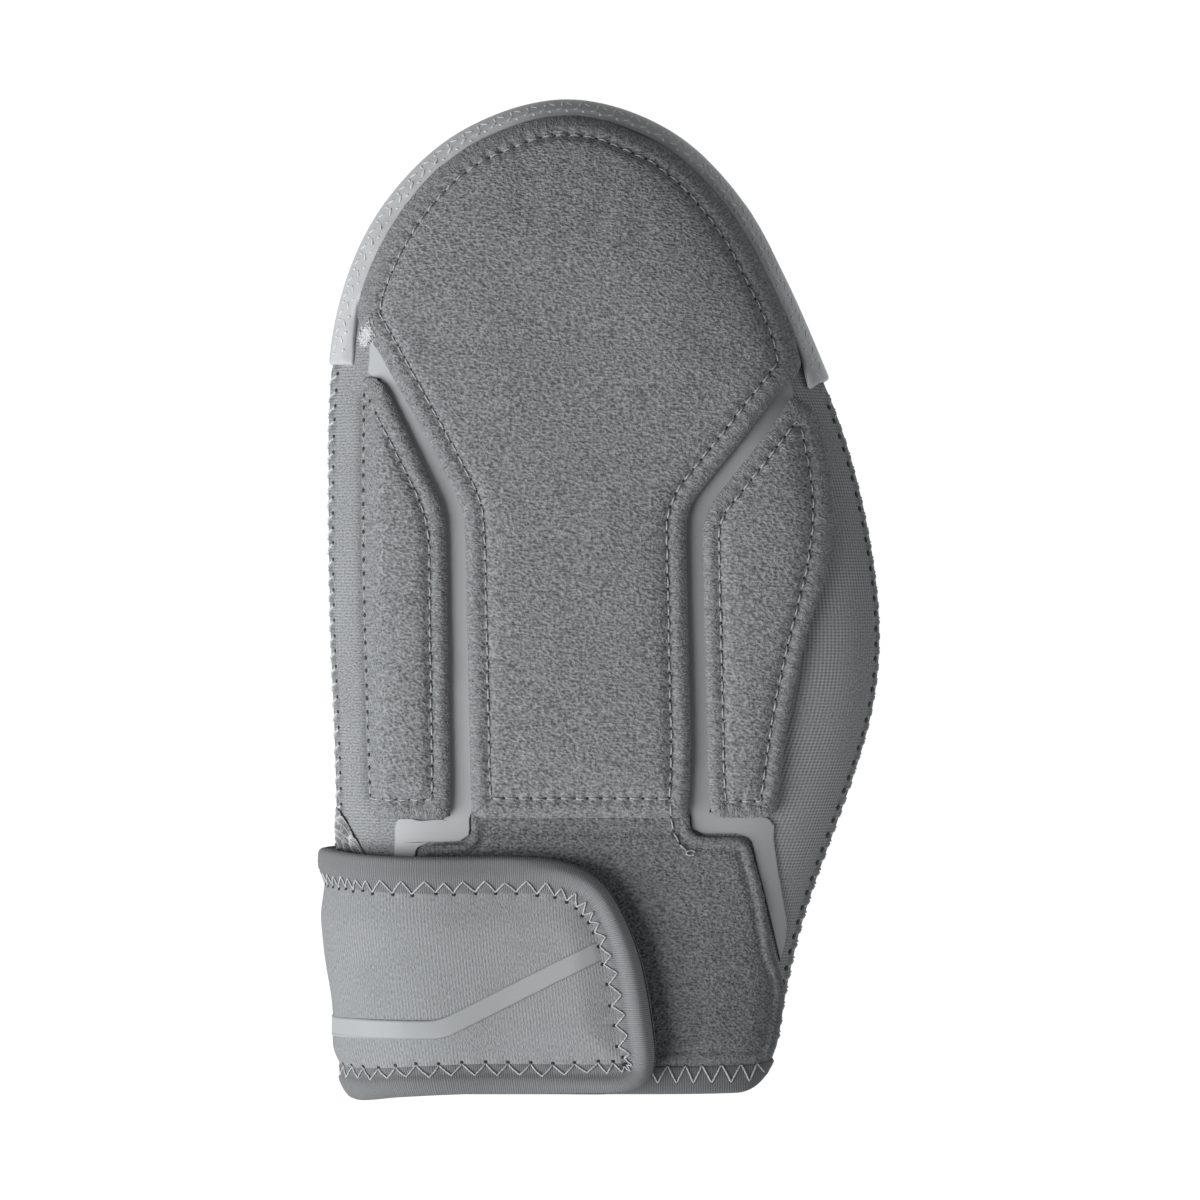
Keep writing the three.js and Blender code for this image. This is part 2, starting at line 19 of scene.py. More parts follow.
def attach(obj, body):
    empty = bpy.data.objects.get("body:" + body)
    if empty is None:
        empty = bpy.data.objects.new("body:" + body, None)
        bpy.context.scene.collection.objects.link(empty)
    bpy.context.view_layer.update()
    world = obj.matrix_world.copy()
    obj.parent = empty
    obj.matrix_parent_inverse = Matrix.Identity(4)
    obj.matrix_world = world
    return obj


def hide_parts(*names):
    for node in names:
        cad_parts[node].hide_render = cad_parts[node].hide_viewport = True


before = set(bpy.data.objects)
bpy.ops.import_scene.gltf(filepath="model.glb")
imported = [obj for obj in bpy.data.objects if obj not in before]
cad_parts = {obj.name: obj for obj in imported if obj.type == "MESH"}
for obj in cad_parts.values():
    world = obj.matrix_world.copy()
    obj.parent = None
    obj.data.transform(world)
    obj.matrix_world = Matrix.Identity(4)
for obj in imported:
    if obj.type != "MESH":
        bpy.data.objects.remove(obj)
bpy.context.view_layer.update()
MM = 0.001  # measures below are in millimetres, and Blender works in metres
print("solids:", ", ".join(sorted(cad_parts)))

# %% [markdown]
# ## Working by hand, in code
# Blender's operators act on whatever is selected, so every step first selects one piece alone. A solid comes
# in as loose triangles. Its copy is merged and turned into quads, because quads subdivide into an even,
# smooth skin. Points are read and written as arrays in millimetres, which keeps the measures readable.


# %% Helpers for one piece
def only(piece):
    bpy.ops.object.select_all(action="DESELECT")
    piece.select_set(True)
    bpy.context.view_layer.objects.active = piece


def copy_of(node, name):
    piece = bpy.data.objects.new(name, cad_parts[node].data.copy())
    bpy.context.scene.collection.objects.link(piece)
    only(piece)
    bpy.ops.mesh.customdata_custom_splitnormals_clear()
    bpy.ops.object.mode_set(mode="EDIT")
    bpy.ops.mesh.select_all(action="SELECT")
    bpy.ops.mesh.remove_doubles(threshold=1e-6)
    bpy.ops.mesh.tris_convert_to_quads(face_threshold=math.radians(60), shape_threshold=math.radians(80))
    bpy.ops.object.mode_set(mode="OBJECT")
    return piece


def points_of(piece):
    flat = np.empty(3 * len(piece.data.vertices))
    piece.data.vertices.foreach_get("co", flat)
    return flat.reshape(-1, 3) / MM


def normals_of(piece):
    flat = np.empty(3 * len(piece.data.vertices))
    piece.data.vertex_normals.foreach_get("vector", flat)
    return flat.reshape(-1, 3)


def move_points(piece, points):
    piece.data.vertices.foreach_set("co", (points * MM).ravel())
    piece.data.update()


def apply(piece, kind, **settings):
    only(piece)
    step = piece.modifiers.new(kind.lower(), kind)
    for setting, value in settings.items():
        setattr(step, setting, value)
    bpy.ops.object.modifier_apply(modifier=step.name)


def soften(piece, levels):
    apply(piece, "SUBSURF", levels=levels, render_levels=levels)


def paint(piece, name, values):
    layer = piece.data.attributes.new(name, "FLOAT", "POINT")
    layer.data.foreach_set("value", np.asarray(values, dtype=np.float32))


def hand_over(piece, finish, slot, *nodes):
    piece.data.materials.clear()
    piece.data.materials.append(finish)
    only(piece)
    bpy.ops.object.shade_smooth()
    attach(piece, "root")
    if nodes:
        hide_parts(*nodes)
    triangles = sum(len(face.vertices) - 2 for face in piece.data.polygons)
    print(f"{piece.name}: {triangles} triangles")


# %% [markdown]
# ## Lines that the sewing follows
# Seams and stitches run at a fixed distance from an edge. An edge is kept as a fine line of points, one each
# quarter of a millimetre, and a tree of those points answers how far any place is from the edge (its inset)
# and how far along the edge it is. Those two numbers drive grooves, stitches, ribs and edge wear.

# %% Lines and measures
LINE_STEP = 0.25


def even_line(points):
    """The same line, with its points one step apart."""
    points = np.asarray(points, float)
    run = np.concatenate([[0], np.cumsum(np.linalg.norm(np.diff(points, axis=0), axis=1))])
    places = np.linspace(0, run[-1], max(2, int(round(run[-1] / LINE_STEP)) + 1))
    return np.stack([np.interp(places, run, points[:, k]) for k in range(points.shape[1])], axis=1)


def measured_from(line, places):
    """Distance of each place from a line, and the run along the line to its nearest point."""
    tree = KDTree(len(line))
    for i, (x, y) in enumerate(line):
        tree.insert((x, y, 0), i)
    tree.balance()
    found = [tree.find((x, y, 0)) for x, y in places]
    inset = np.array([near[2] for near in found])
    along = np.array([near[1] for near in found]) * LINE_STEP
    return inset, along


def line_frame(line, along):
    """Place on a line and its direction, at a run along it."""
    i = min(max(int(round(along / LINE_STEP)), 2), len(line) - 3)
    step = line[i + 2] - line[i - 2]
    return line[i], step / np.linalg.norm(step)


def index_at(along):
    """Which point of a line lies at each run along it."""
    return np.round(along / LINE_STEP).astype(int)


def rounded_outline(corners, segments=14):
    """Outline with a soft corner at each (x, y, radius)."""
    corners = np.asarray(corners, float)
    line = []
    for i, (x, y, radius) in enumerate(corners):
        here = np.array([x, y])
        ends = []
        for other in (corners[i - 1, :2], corners[(i + 1) % len(corners), :2]):
            arm = other - here
            reach = min(radius, np.linalg.norm(arm) / 2)
            ends.append(here + arm / np.linalg.norm(arm) * reach)
        for t in np.linspace(0, 1, segments if radius else 1):
            line.append((1 - t) ** 2 * ends[0] + 2 * t * (1 - t) * here + t * t * ends[1])
    return np.array(line)


def plan_outline(piece, blur=5):
    """Outline of a laid piece from above: the edges where its upright wall meets its underside."""
    mesh = bmesh.new()
    mesh.from_mesh(piece.data)
    joined = {}
    for edge in mesh.edges:
        rises = [face.normal.z for face in edge.link_faces]
        if len(rises) == 2 and min(rises) < -0.2 and min(abs(rise) for rise in rises) < 0.1:
            for here, there in (edge.verts, reversed(edge.verts)):
                joined.setdefault(here, []).append(there)
    start = next(iter(joined))
    loop = [start, joined[start][0]]
    while loop[-1] is not start:
        loop.append(next(v for v in joined[loop[-1]] if v is not loop[-2]))
    line = even_line([(v.co.x / MM, v.co.y / MM) for v in loop])
    mesh.free()
    weights = np.ones(2 * blur + 1) / (2 * blur + 1)
    padded = np.concatenate([line[-blur - 1 : -1], line, line[1 : blur + 1]])
    return np.stack([np.convolve(padded[:, k], weights, "valid") for k in (0, 1)], axis=1)


def smooth_step(low, high, value):
    t = np.clip((np.asarray(value, float) - low) / (high - low), 0, 1)
    return t * t * (3 - 2 * t)


def hump(value, width):
    """1 where the value is 0, falling off smoothly to both sides."""
    return np.exp(-((value / width) ** 2))


# %% [markdown]
# ## The side seam
# The two panels meet in one level seam that runs up the outer side of the hand, round the fingertips and down
# the thumb side. The same stations that cut the solids give it here, on a smooth curve, so the stitching
# lands on the edge.

# %% Side seam from its stations
SEAM_LEFT = [(-58.6, -150), (-61, -126), (-63.7, -102), (-66.2, -76), (-66.8, -51), (-67.4, -30), (-68.4, -9)]
SEAM_LEFT += [(-68.7, 18), (-68.4, 42), (-67.4, 58)]
SEAM_ARCH = [(-62.8, 80.8), (-52.4, 100.6), (-34.2, 117.4), (-8.4, 125.2), (16.6, 117.6), (34.4, 100.4)]
SEAM_ARCH += [(45.7, 80.4)]
SEAM_RIGHT = [(55.5, 58), (62, 42), (68.2, 18), (71.5, -9), (69.2, -30), (62.4, -51), (53.4, -76)]
SEAM_RIGHT += [(47.2, -102), (44.4, -126), (43.2, -150)]
SEAM_HEIGHT = 12


def flowing_line(knots, steps=24):
    """Curve through its knots, with the spacing of the knots taken into account."""
    knots = np.asarray(knots, float)
    knots = np.vstack([2 * knots[0] - knots[1], knots, 2 * knots[-1] - knots[-2]])
    line = []
    for a, b, c, d in zip(knots, knots[1:], knots[2:], knots[3:]):
        spans = [math.sqrt(np.linalg.norm(q - p)) for p, q in ((a, b), (b, c), (c, d))]
        leave = ((b - a) / spans[0] - (c - a) / (spans[0] + spans[1])) * spans[1] + (c - b)
        arrive = ((d - c) / spans[2] - (d - b) / (spans[1] + spans[2])) * spans[1] + (c - b)
        for t in np.linspace(0, 1, steps, endpoint=False):
            line.append(
                b * (1 + 2 * t) * (1 - t) ** 2 + leave * t * (1 - t) ** 2
                + c * t * t * (3 - 2 * t) + arrive * t * t * (t - 1)
            )
    return np.array(line + [knots[-2]])


side_seam = even_line(flowing_line(SEAM_LEFT + SEAM_ARCH + SEAM_RIGHT))
tip_place = int(np.argmax(side_seam[:, 1]))
left_side, right_side = side_seam[: tip_place + 1], side_seam[tip_place:][::-1]


def seam_run(side, y):
    """Run along the whole seam at a height on its left or right side."""
    i = int(np.argmin(np.abs(side[:, 1] - y)))
    return (i if side is left_side else len(side_seam) - 1 - i) * LINE_STEP


print(f"side seam: {len(side_seam) * LINE_STEP:.0f} mm, tip at {side_seam[tip_place].round(1)}")

# %% [markdown]
# ## Finishes
# Every finish is one grey with its own structure. A small recipe book keeps the node trees short: it makes
# noise, ribs and bumps, reads the painted measures, and mixes a dark and a light tone by them. Tones are
# written as the grey seen on a screen, with the slight blue that this cloth has.


# %% Recipe book for finishes
def tone(grey):
    screen = [grey / 255, (grey + 2.4) / 255, (grey + 4) / 255]
    linear = [c / 12.92 if c <= 0.04045 else ((c + 0.055) / 1.055) ** 2.4 for c in screen]
    return (*linear, 1.0)


class Finish:
    def __init__(self, name, roughness, sheen=0.0, specular=0.3):
        self.material = bpy.data.materials.new(name)
        self.material.use_nodes = True
        self.tree = self.material.node_tree
        self.shader = self.tree.nodes["Principled BSDF"]
        self.shader.inputs["Roughness"].default_value = roughness
        self.shader.inputs["Specular IOR Level"].default_value = specular
        self.shader.inputs["Sheen Weight"].default_value = sheen
        self.shader.inputs["Sheen Roughness"].default_value = 0.5
        self.place = self.add("ShaderNodeTexCoord", "Object")
        self.normal = None

    def add(self, kind, output=0, inputs=(), **settings):
        node = self.tree.nodes.new(kind)
        for setting, value in settings.items():
            setattr(node, setting, value)
        for socket, value in dict(inputs).items():
            if isinstance(value, bpy.types.NodeSocket):
                self.tree.links.new(value, node.inputs[socket])
            else:
                node.inputs[socket].default_value = value
        return node.outputs[output]

    def math(self, operation, *values):
        return self.add("ShaderNodeMath", inputs=enumerate(values), operation=operation)

    def measure(self, name):
        return self.add("ShaderNodeAttribute", "Fac", attribute_name=name)

    def grain(self, size, detail=2.0, stretch=(1, 1, 1), rough=0.55):
        """Noise with a grain of that size, in millimetres, from 0 to 1 with most of it near the middle."""
        scale = [1 / (size * MM * s) for s in stretch]
        place = self.add("ShaderNodeMapping", inputs={"Vector": self.place, "Scale": scale})
        inputs = {"Vector": place, "Scale": 1.0, "Detail": detail, "Roughness": rough}
        return self.add("ShaderNodeTexNoise", "Fac", inputs)

    def grain_on(self, run, across, run_size, across_size, detail=1.5):
        """Noise that follows two painted measures, with its own grain along each."""
        turned = [self.math("DIVIDE", run, run_size), self.math("DIVIDE", across, across_size)]
        place = self.add("ShaderNodeCombineXYZ", inputs=enumerate(turned))
        return self.add("ShaderNodeTexNoise", "Fac", {"Vector": place, "Scale": 1.0, "Detail": detail})

    def spread(self, value, low, high):
        return self.add("ShaderNodeMapRange", inputs={0: value, 1: low, 2: high})

    def ribs(self, run, pitch, wander=0.0, wander_size=3.0):
        """Waves from 0 to 1 along a painted measure, a pitch apart, drifting a little."""
        turns = self.math("MULTIPLY", run, 2 * math.pi / pitch)
        if wander:
            drift = self.math("MULTIPLY", self.grain(wander_size), wander * 2 * math.pi)
            turns = self.math("ADD", turns, drift)
        return self.math("MULTIPLY_ADD", self.math("SINE", turns), 0.5, 0.5)

    def blend(self, share, a, b):
        return self.add("ShaderNodeMix", inputs={0: share, 2: a, 3: b})

    def colour(self, share, dark, light):
        inputs = {0: share, 6: dark, 7: light}
        return self.add("ShaderNodeMix", 2, inputs, data_type="RGBA", clamp_factor=True)

    def bump(self, height, depth, strength=1.0):
        inputs = {"Height": height, "Distance": depth * MM, "Strength": strength}
        if self.normal:
            inputs["Normal"] = self.normal
        self.normal = self.add("ShaderNodeBump", inputs=inputs)

    def done(self, colour, roughness=None):
        self.tree.links.new(colour, self.shader.inputs["Base Color"])
        if roughness:
            self.tree.links.new(roughness, self.shader.inputs["Roughness"])
        if self.normal:
            self.tree.links.new(self.normal, self.shader.inputs["Normal"])
        return self.material


# %% [markdown]
# ### Loop cloth
# The pads and the wrist patch are faced with brushed loop cloth. Its nap is an even mottle of short fibres,
# under a millimetre long and lying slightly across the hand. Where the cloth rolls over an edge it is
# stretched, and the nap combs into tufts square to the edge, so there the noise follows the painted measures.

# %% Loop cloth finish
def loop_cloth(name, dark, light, edge_band, size=1.0):
    nap = Finish(name, roughness=0.95, sheen=0.1, specular=0.1)
    fibres = nap.grain(0.7 * size, detail=1.0, stretch=(1.2, 0.92, 1.0), rough=0.5)
    rows = nap.grain(0.5 * size, detail=0.0, stretch=(3.0, 1.0, 1.0))
    mottle = nap.blend(0.25, fibres, rows)
    inset = nap.measure("inset")
    combed = nap.grain_on(nap.measure("along"), inset, 0.62, 2.0)
    edge = nap.math("SUBTRACT", 1.0, nap.spread(inset, edge_band - 2.2, edge_band))
    structure = nap.blend(nap.math("MULTIPLY", edge, 0.48), mottle, combed)
    share = nap.spread(structure, 0.3, 0.7)
    nap.bump(share, 0.3, 0.9)
    return nap.done(nap.colour(share, tone(dark), tone(light)))


pad_cloth = loop_cloth("pad_loop_cloth", dark=83, light=149, edge_band=4.4)
patch_cloth = loop_cloth("wrist_loop_cloth", dark=68, light=130, edge_band=3.0, size=0.9)

# %% [markdown]
# ### Knit, binding, film, rubber and thread
# The neoprene is faced with fine jersey: wales along the hand crossed by courses, both half lost in the fuzz
# of the yarn. Towards the thumb side the knit is painted a little lighter, a painted light where the key
# light falls off. The binding is jersey too, with ribs square to its edge. The film is smooth and satin, with
# its edge painted darker, a painted shade where it meets the cloth. The guard is satin rubber with a little
# grain. Painted measures darken the knit between the overlock loops at the edge; as painted shade they also
# darken it in the groove of the outer pad's stitches and on the strap's left part, and darken the binding
# towards its left end and the rubber at the fingertips. Threads are lighter than the cloth they sew, and
# needle holes are painted near black for the shade inside them.


# %% Jersey, binding, film, rubber and thread finishes
def jersey(name, dark, light, course_share, streak, wale_range, wale_pitch):
    """Courses across the hand and wales along it, broken up by the fuzz of the yarn."""
    knit = Finish(name, roughness=0.88, sheen=0.1, specular=0.15)
    across, down = knit.measure("across"), knit.measure("down")
    courses = knit.ribs(down, 0.78, wander=0.35, wander_size=4)
    wales = knit.ribs(across, wale_pitch, wander=0.2, wander_size=6)
    thumb_side = knit.spread(across, -12.0, 12.0)
    wale_share = knit.add("ShaderNodeMapRange", inputs={0: thumb_side, 3: wale_range[0], 4: wale_range[1]})
    loops = knit.spread(knit.blend(wale_share, courses, wales), 0.2, 0.75)
    yarn = knit.spread(knit.grain_on(across, down, *streak), 0.25, 0.75)
    patches = knit.grain(12, detail=1.5)
    course_mix = knit.math("MULTIPLY", knit.spread(patches, 0.25, 0.6), course_share)
    course_mix = knit.math("MULTIPLY", course_mix, knit.math("MULTIPLY_ADD", thumb_side, 0.7, 0.28))
    structure = knit.blend(course_mix, yarn, loops)
    share = knit.math("MULTIPLY_ADD", knit.math("SUBTRACT", patches, 0.5), 0.2, structure)
    # Painted light: the knit is made a little lighter towards the thumb side, where the key light falls off.
    share = knit.math("MULTIPLY_ADD", thumb_side, 0.1, share)
    knit.bump(structure, 0.14, 0.8)
    cloth = knit.colour(share, tone(dark), tone(light))
    # The painted measure darkens the knit at the overlock gaps, and as painted shade in the stitch groove and
    # on the strap's left part.
    return knit.done(knit.colour(knit.measure("gaps_and_painted_shade"), cloth, tone(dark * 0.5)))


def ribbed_tape(name, dark, light, pitch):
    tape = Finish(name, roughness=0.82, sheen=0.1, specular=0.2)
    ribs = tape.ribs(tape.measure("along"), pitch, wander=0.25, wander_size=5)
    fuzz = tape.grain(0.45, detail=2.0)
    structure = tape.blend(0.45, ribs, fuzz)
    tape.bump(structure, 0.12, 0.8)
    unshaded = tape.colour(structure, tone(dark), tone(light))
    # Painted shade: a painted measure darkens the tape, used for the binding towards its left end.
    return tape.done(tape.colour(tape.measure("painted_left_shade"), unshaded, tone(dark * 0.45)))


def satin_film(name, grey, edge_shade_grey):
    film = Finish(name, roughness=0.55, specular=0.25)
    # Painted shade: the film is darker within a third of a millimetre of its edge, where it meets the cloth.
    edge_shade = film.spread(film.measure("inset"), 0.0, 0.35)
    cloudy = film.grain(18, detail=2.0)
    share = film.math("MULTIPLY", edge_shade, film.math("MULTIPLY_ADD", cloudy, 0.25, 0.87))
    film.bump(film.grain(2.5, detail=3.0), 0.02, 0.5)
    rough = film.math("MULTIPLY_ADD", cloudy, 0.14, 0.48)
    return film.done(film.colour(share, tone(edge_shade_grey), tone(grey)), rough)


def satin_rubber(name, dark, light, tip_shade):
    rubber = Finish(name, roughness=0.5, specular=0.4)
    cloudy = rubber.grain(7, detail=3.0)
    grain = rubber.grain(0.4, detail=2.0)
    rubber.bump(grain, 0.04, 0.6)
    rough = rubber.math("MULTIPLY_ADD", cloudy, 0.2, 0.38)
    unshaded = rubber.colour(rubber.spread(cloudy, 0.3, 0.7), tone(dark), tone(light))
    # Painted shade: a painted measure darkens the rubber towards the fingertips.
    return rubber.done(rubber.colour(rubber.measure("painted_tip_shade"), unshaded, tone(tip_shade)), rough)


def sewing_thread(name, dark, light):
    thread = Finish(name, roughness=0.65, sheen=0.2, specular=0.3)
    twist = thread.grain(0.4, detail=1.0)
    thread.bump(twist, 0.08, 0.6)
    return thread.done(thread.colour(thread.spread(twist, 0.3, 0.7), tone(dark), tone(light)))


back_jersey = jersey(
    "back_jersey", dark=90, light=158,
    course_share=0.85, streak=(0.7, 0.4), wale_range=(0.12, 0.5), wale_pitch=0.92,
)
strap_jersey = jersey(
    "strap_jersey", dark=106, light=154,
    course_share=0.34, streak=(0.26, 0.9), wale_range=(0.1, 0.95), wale_pitch=0.8,
)
binding_tape = ribbed_tape("binding_tape", dark=90, light=140, pitch=0.52)
hem_tape = ribbed_tape("hem_tape", dark=78, light=114, pitch=0.6)
channel_film = satin_film("channel_film", grey=165, edge_shade_grey=130)
shaded_film = satin_film("shaded_film", grey=148, edge_shade_grey=116)
stripe_film = satin_film("stripe_film", grey=150, edge_shade_grey=116)
guard_rubber = satin_rubber("guard_rubber", dark=162, light=176, tip_shade=116)
# The grip marks get a lighter copy of the guard's rubber, painted light so they stand out in its shade.
mark_rubber_painted_light = satin_rubber("mark_rubber_painted_light", dark=182, light=196, tip_shade=130)
pale_thread = sewing_thread("pale_thread", dark=136, light=186)
nap_thread = sewing_thread("nap_thread", dark=122, light=174)
nap_fibre = sewing_thread("nap_fibre", dark=88, light=150)
seam_thread = sewing_thread("seam_thread", dark=140, light=198)
needle_shadow = sewing_thread("needle_shadow", dark=24, light=40)
print("finishes:", len(bpy.data.materials))

# %% [markdown]
# ## Thread and needle holes
# A thread is drawn as an open line with a round section and turned into a mesh. It could be a modelled tube,
# but a line keeps every stitch easy to aim. A needle hole is a tiny sphere, pressed flat and sunk into the
# cloth so that only a dark dimple shows; it is painted near black for the shade inside the hole. It is
# modelled once and copied to each place.


# %% Thread and hole makers
def surface_of(*pieces):
    """One tree over several dressed pieces, to find where a stitch touches them."""
    places, faces = [], []
    for piece in pieces:
        start = len(places)
        places += [Vector(p) for p in points_of(piece)]
        faces += [[start + i for i in face.vertices] for face in piece.data.polygons]
    return BVHTree.FromPolygons(places, faces)


def drop(surface, x, y, from_height=80):
    """Where a plumb line meets a surface from above."""
    place, normal, _, _ = surface.ray_cast(Vector((x, y, from_height)), Vector((0, 0, -1)))
    return place, normal


def lay(surface, place, lift):
    """Nearest point on a surface, lifted off it."""
    touch, normal, _, _ = surface.find_nearest(Vector(place))
    return touch + normal * lift, normal


def sewn(name, runs, radius, finish, slot):
    """Round thread along each run of places."""
    line = bpy.data.curves.new(name, "CURVE")
    line.dimensions = "3D"
    line.bevel_depth = radius * MM
    line.bevel_resolution = 1
    line.use_fill_caps = True
    for run in runs:
        spline = line.splines.new("POLY")
        spline.points.add(len(run) - 1)
        flat = np.ones((len(run), 4))
        flat[:, :3] = np.array([tuple(p) for p in run]) * MM
        spline.points.foreach_set("co", flat.ravel())
    piece = bpy.data.objects.new(name, line)
    bpy.context.scene.collection.objects.link(piece)
    only(piece)
    bpy.ops.object.convert(target="MESH")
    hand_over(piece, finish, slot)
    return piece


def scattered(name, pattern, placings, finish, slot):
    """Copies of one small closed shape, each with its own place, turn and size."""
    shape = points_of(pattern)
    faces = [list(face.vertices) for face in pattern.data.polygons]
    points = np.concatenate([shape @ turn.T + np.array(tuple(place)) for place, turn in placings])
    polygons = [[i + k * len(shape) for i in face] for k in range(len(placings)) for face in faces]
    mesh = bpy.data.meshes.new(name)
    mesh.from_pydata((points * MM).tolist(), [], polygons)
    piece = bpy.data.objects.new(name, mesh)
    bpy.context.scene.collection.objects.link(piece)
    hand_over(piece, finish, slot)
    return piece


def frame_on(normal, along):
    """Axes of a small shape that lies on a surface: its length, its width and out of the surface."""
    out = np.array(tuple(normal))
    out = out / np.linalg.norm(out)
    length = np.array(tuple(along)) - out * np.dot(out, tuple(along))
    length = length / np.linalg.norm(length)
    return np.stack([length, np.cross(out, length), out], axis=1)


def small_shape(name, half_length, half_width, half_height, sides=8, rings=5):
    bpy.ops.object.select_all(action="DESELECT")
    bpy.ops.mesh.primitive_uv_sphere_add(segments=sides, ring_count=rings, radius=MM)
    shape = bpy.context.object
    shape.name = name
    bpy.ops.object.mode_set(mode="EDIT")
    bpy.ops.transform.resize(value=(half_length, half_width, half_height))
    bpy.ops.object.mode_set(mode="OBJECT")
    return shape


needle_hole = small_shape("needle_hole_shape", half_length=0.42, half_width=0.36, half_height=0.16)

# %% [markdown]
# ## Body panels
# The panels are neoprene, 2.5 mm thick, and soft enough that no corner is sharp. Subdividing the solid rounds
# the cut edges and smooths the steps of the roll, and what that takes off the edge is put back, because the
# outline is the size of the mitt. The jersey's ribs follow the cloth, so each point is painted with its
# distance up the roll from the seam and its place along the hand. On the bare palm that measure runs on from
# side to side, or the knit would meet itself in a line down the middle. The overlock thread pulls the edge in
# at each stitch, and the cloth bulges between them. The outer pad's stitches press a groove into the knit of
# the back. The thumb-side corner at the wrist is rounded.

# %% Back and palm panels
SEAM_PITCH = 3.9
BACK_ROUND, BACK_HIGH = 27, 17  # width and height of the roll from the seam up to the back
PALM_ROUND, PALM_DEEP = 15, 12
WRIST_CORNER, CORNER_REACH = (34.5, -110.0), (11.6, 14.8)  # middle of the rounded corner, and its two radii
EDGE_OUT = {  # how far the cloth's edge stands out from the seam, by place along the hand
    "left": [(-62, 0.7), (0, 0.75), (30, 0.95), (58, 1.7), (70, 0.7)],
    "right": [(-118, 0.0), (-85, 0.05), (-60, 0.5), (0, 0.6), (50, 0.85), (70, 0.6)],
}
EDGE_REACH = 2.4  # how far in from the seam the edge is moved
LEFT_BULGE, RIGHT_BULGE = 0.12, 0.08
HAND_MIDDLE = -8.4
PRESSED_ROW = [(-50, -58.0), (10, -59.7), (53, -59.6)]  # y and x of the stitches that press into the knit
PRESS_DEPTH = 0.9


def roll_length(inset, width, height):
    """Length over a quarter-ellipse roll from the seam, then straight on."""
    angle = np.arccos(np.clip(1 - inset / width, 0, 1))
    over = angle * (width + height) / 2
    return np.where(inset < width, over, (width + height) * math.pi / 4 + inset - width)


def round_wrist_corner(points):
    right = np.maximum(points[:, 0] - WRIST_CORNER[0], 0) / CORNER_REACH[0]
    down = np.maximum(WRIST_CORNER[1] - points[:, 1], 0) / CORNER_REACH[1]
    reach = np.maximum(right, down)
    shorten = (1 - reach / np.maximum(np.hypot(right, down), 1e-9)) * np.minimum(reach, 1) ** 3
    inside = (right > 0) & (down > 0)
    points[inside, 0] -= (right * shorten)[inside] * CORNER_REACH[0]
    points[inside, 1] += (down * shorten)[inside] * CORNER_REACH[1]


def body_panel(node, name, width, height):
    piece = copy_of(node, name)
    soften(piece, 3)
    points, normals = points_of(piece), normals_of(piece)
    inset, along = measured_from(side_seam, points[:, :2])
    side = np.sign(points[:, 0] - HAND_MIDDLE)
    across = side * roll_length(inset, width, height)
    if node == "palm_panel":
        spare = (width + height) * math.pi / 4 - width
        across = points[:, 0] - HAND_MIDDLE + side * (inset + spare - np.abs(across))
    bulge = 0.5 - 0.5 * np.cos(2 * math.pi * along / SEAM_PITCH)
    from_seam = np.abs(points[:, 2] - SEAM_HEIGHT)
    near = hump(inset, EDGE_REACH) * (from_seam < 9)
    out = np.where(
        points[:, 0] < HAND_MIDDLE,
        np.interp(points[:, 1], *zip(*EDGE_OUT["left"])),
        np.interp(points[:, 1], *zip(*EDGE_OUT["right"])),
    )
    slanted = along - 1.5 * inset + 3.0
    gaps_and_painted_shade = 0.5 + 0.5 * np.cos(2 * math.pi * slanted / SEAM_PITCH)
    gaps_and_painted_shade = smooth_step(0.45, 0.85, gaps_and_painted_shade) * smooth_step(2.3, 1.7, inset) * (from_seam < 8)
    bulge *= np.where(points[:, 0] < HAND_MIDDLE, LEFT_BULGE, RIGHT_BULGE)
    points[:, :2] += normals[:, :2] * (near * (out + bulge))[:, None]
    points[:, 2] += normals[:, 2] * near * bulge
    from_row = points[:, 0] - np.interp(points[:, 1], *zip(*PRESSED_ROW))
    pressed = hump(from_row, 1.7) * (points[:, 2] > SEAM_HEIGHT)
    pressed *= smooth_step(-53, -49, points[:, 1]) * smooth_step(55, 51, points[:, 1])
    points[:, 2] -= PRESS_DEPTH * pressed
    round_wrist_corner(points)
    move_points(piece, points)
    paint(piece, "across", across)
    paint(piece, "down", points[:, 1])
    # Darker between the overlock loops at the edge, and painted shade in the pressed groove beside the outer
    # pad's stitches.
    paint(piece, "gaps_and_painted_shade", np.maximum(0.45 * gaps_and_painted_shade, 0.4 * pressed**2))
    hand_over(piece, back_jersey, "knit", node)
    return piece


back_panel = body_panel("back_panel", "back_knit_panel", BACK_ROUND, BACK_HIGH)
palm_panel = body_panel("palm_panel", "palm_knit_panel", PALM_ROUND, PALM_DEEP)
back_surface = surface_of(back_panel)


def back_height(places):
    """Height of the back under each place in plan."""
    found = [drop(back_surface, x, y)[0] for x, y in places]
    return np.array([SEAM_HEIGHT if touch is None else touch.z for touch in found])


# %% [markdown]
# ## Finger guard
# The guard is a channel of moulded rubber that grips the edge of both panels round the fingers. Subdividing
# gives it the rounded lip of a moulding, but would also melt its two cut ends, so each end gets an extra loop
# of edges close to it first, cut by bisecting. The shrinking is then made good along the surface.

# %% Finger guard
GUARD_LEFT_END, GUARD_RIGHT_END = 60.3, 55
GUARD_GROWN, TIP_GROWN = 0.4, 0.5  # what is put back all over, and what more at the fingertips
finger_guard = copy_of("finger_guard", "rubber_finger_guard")


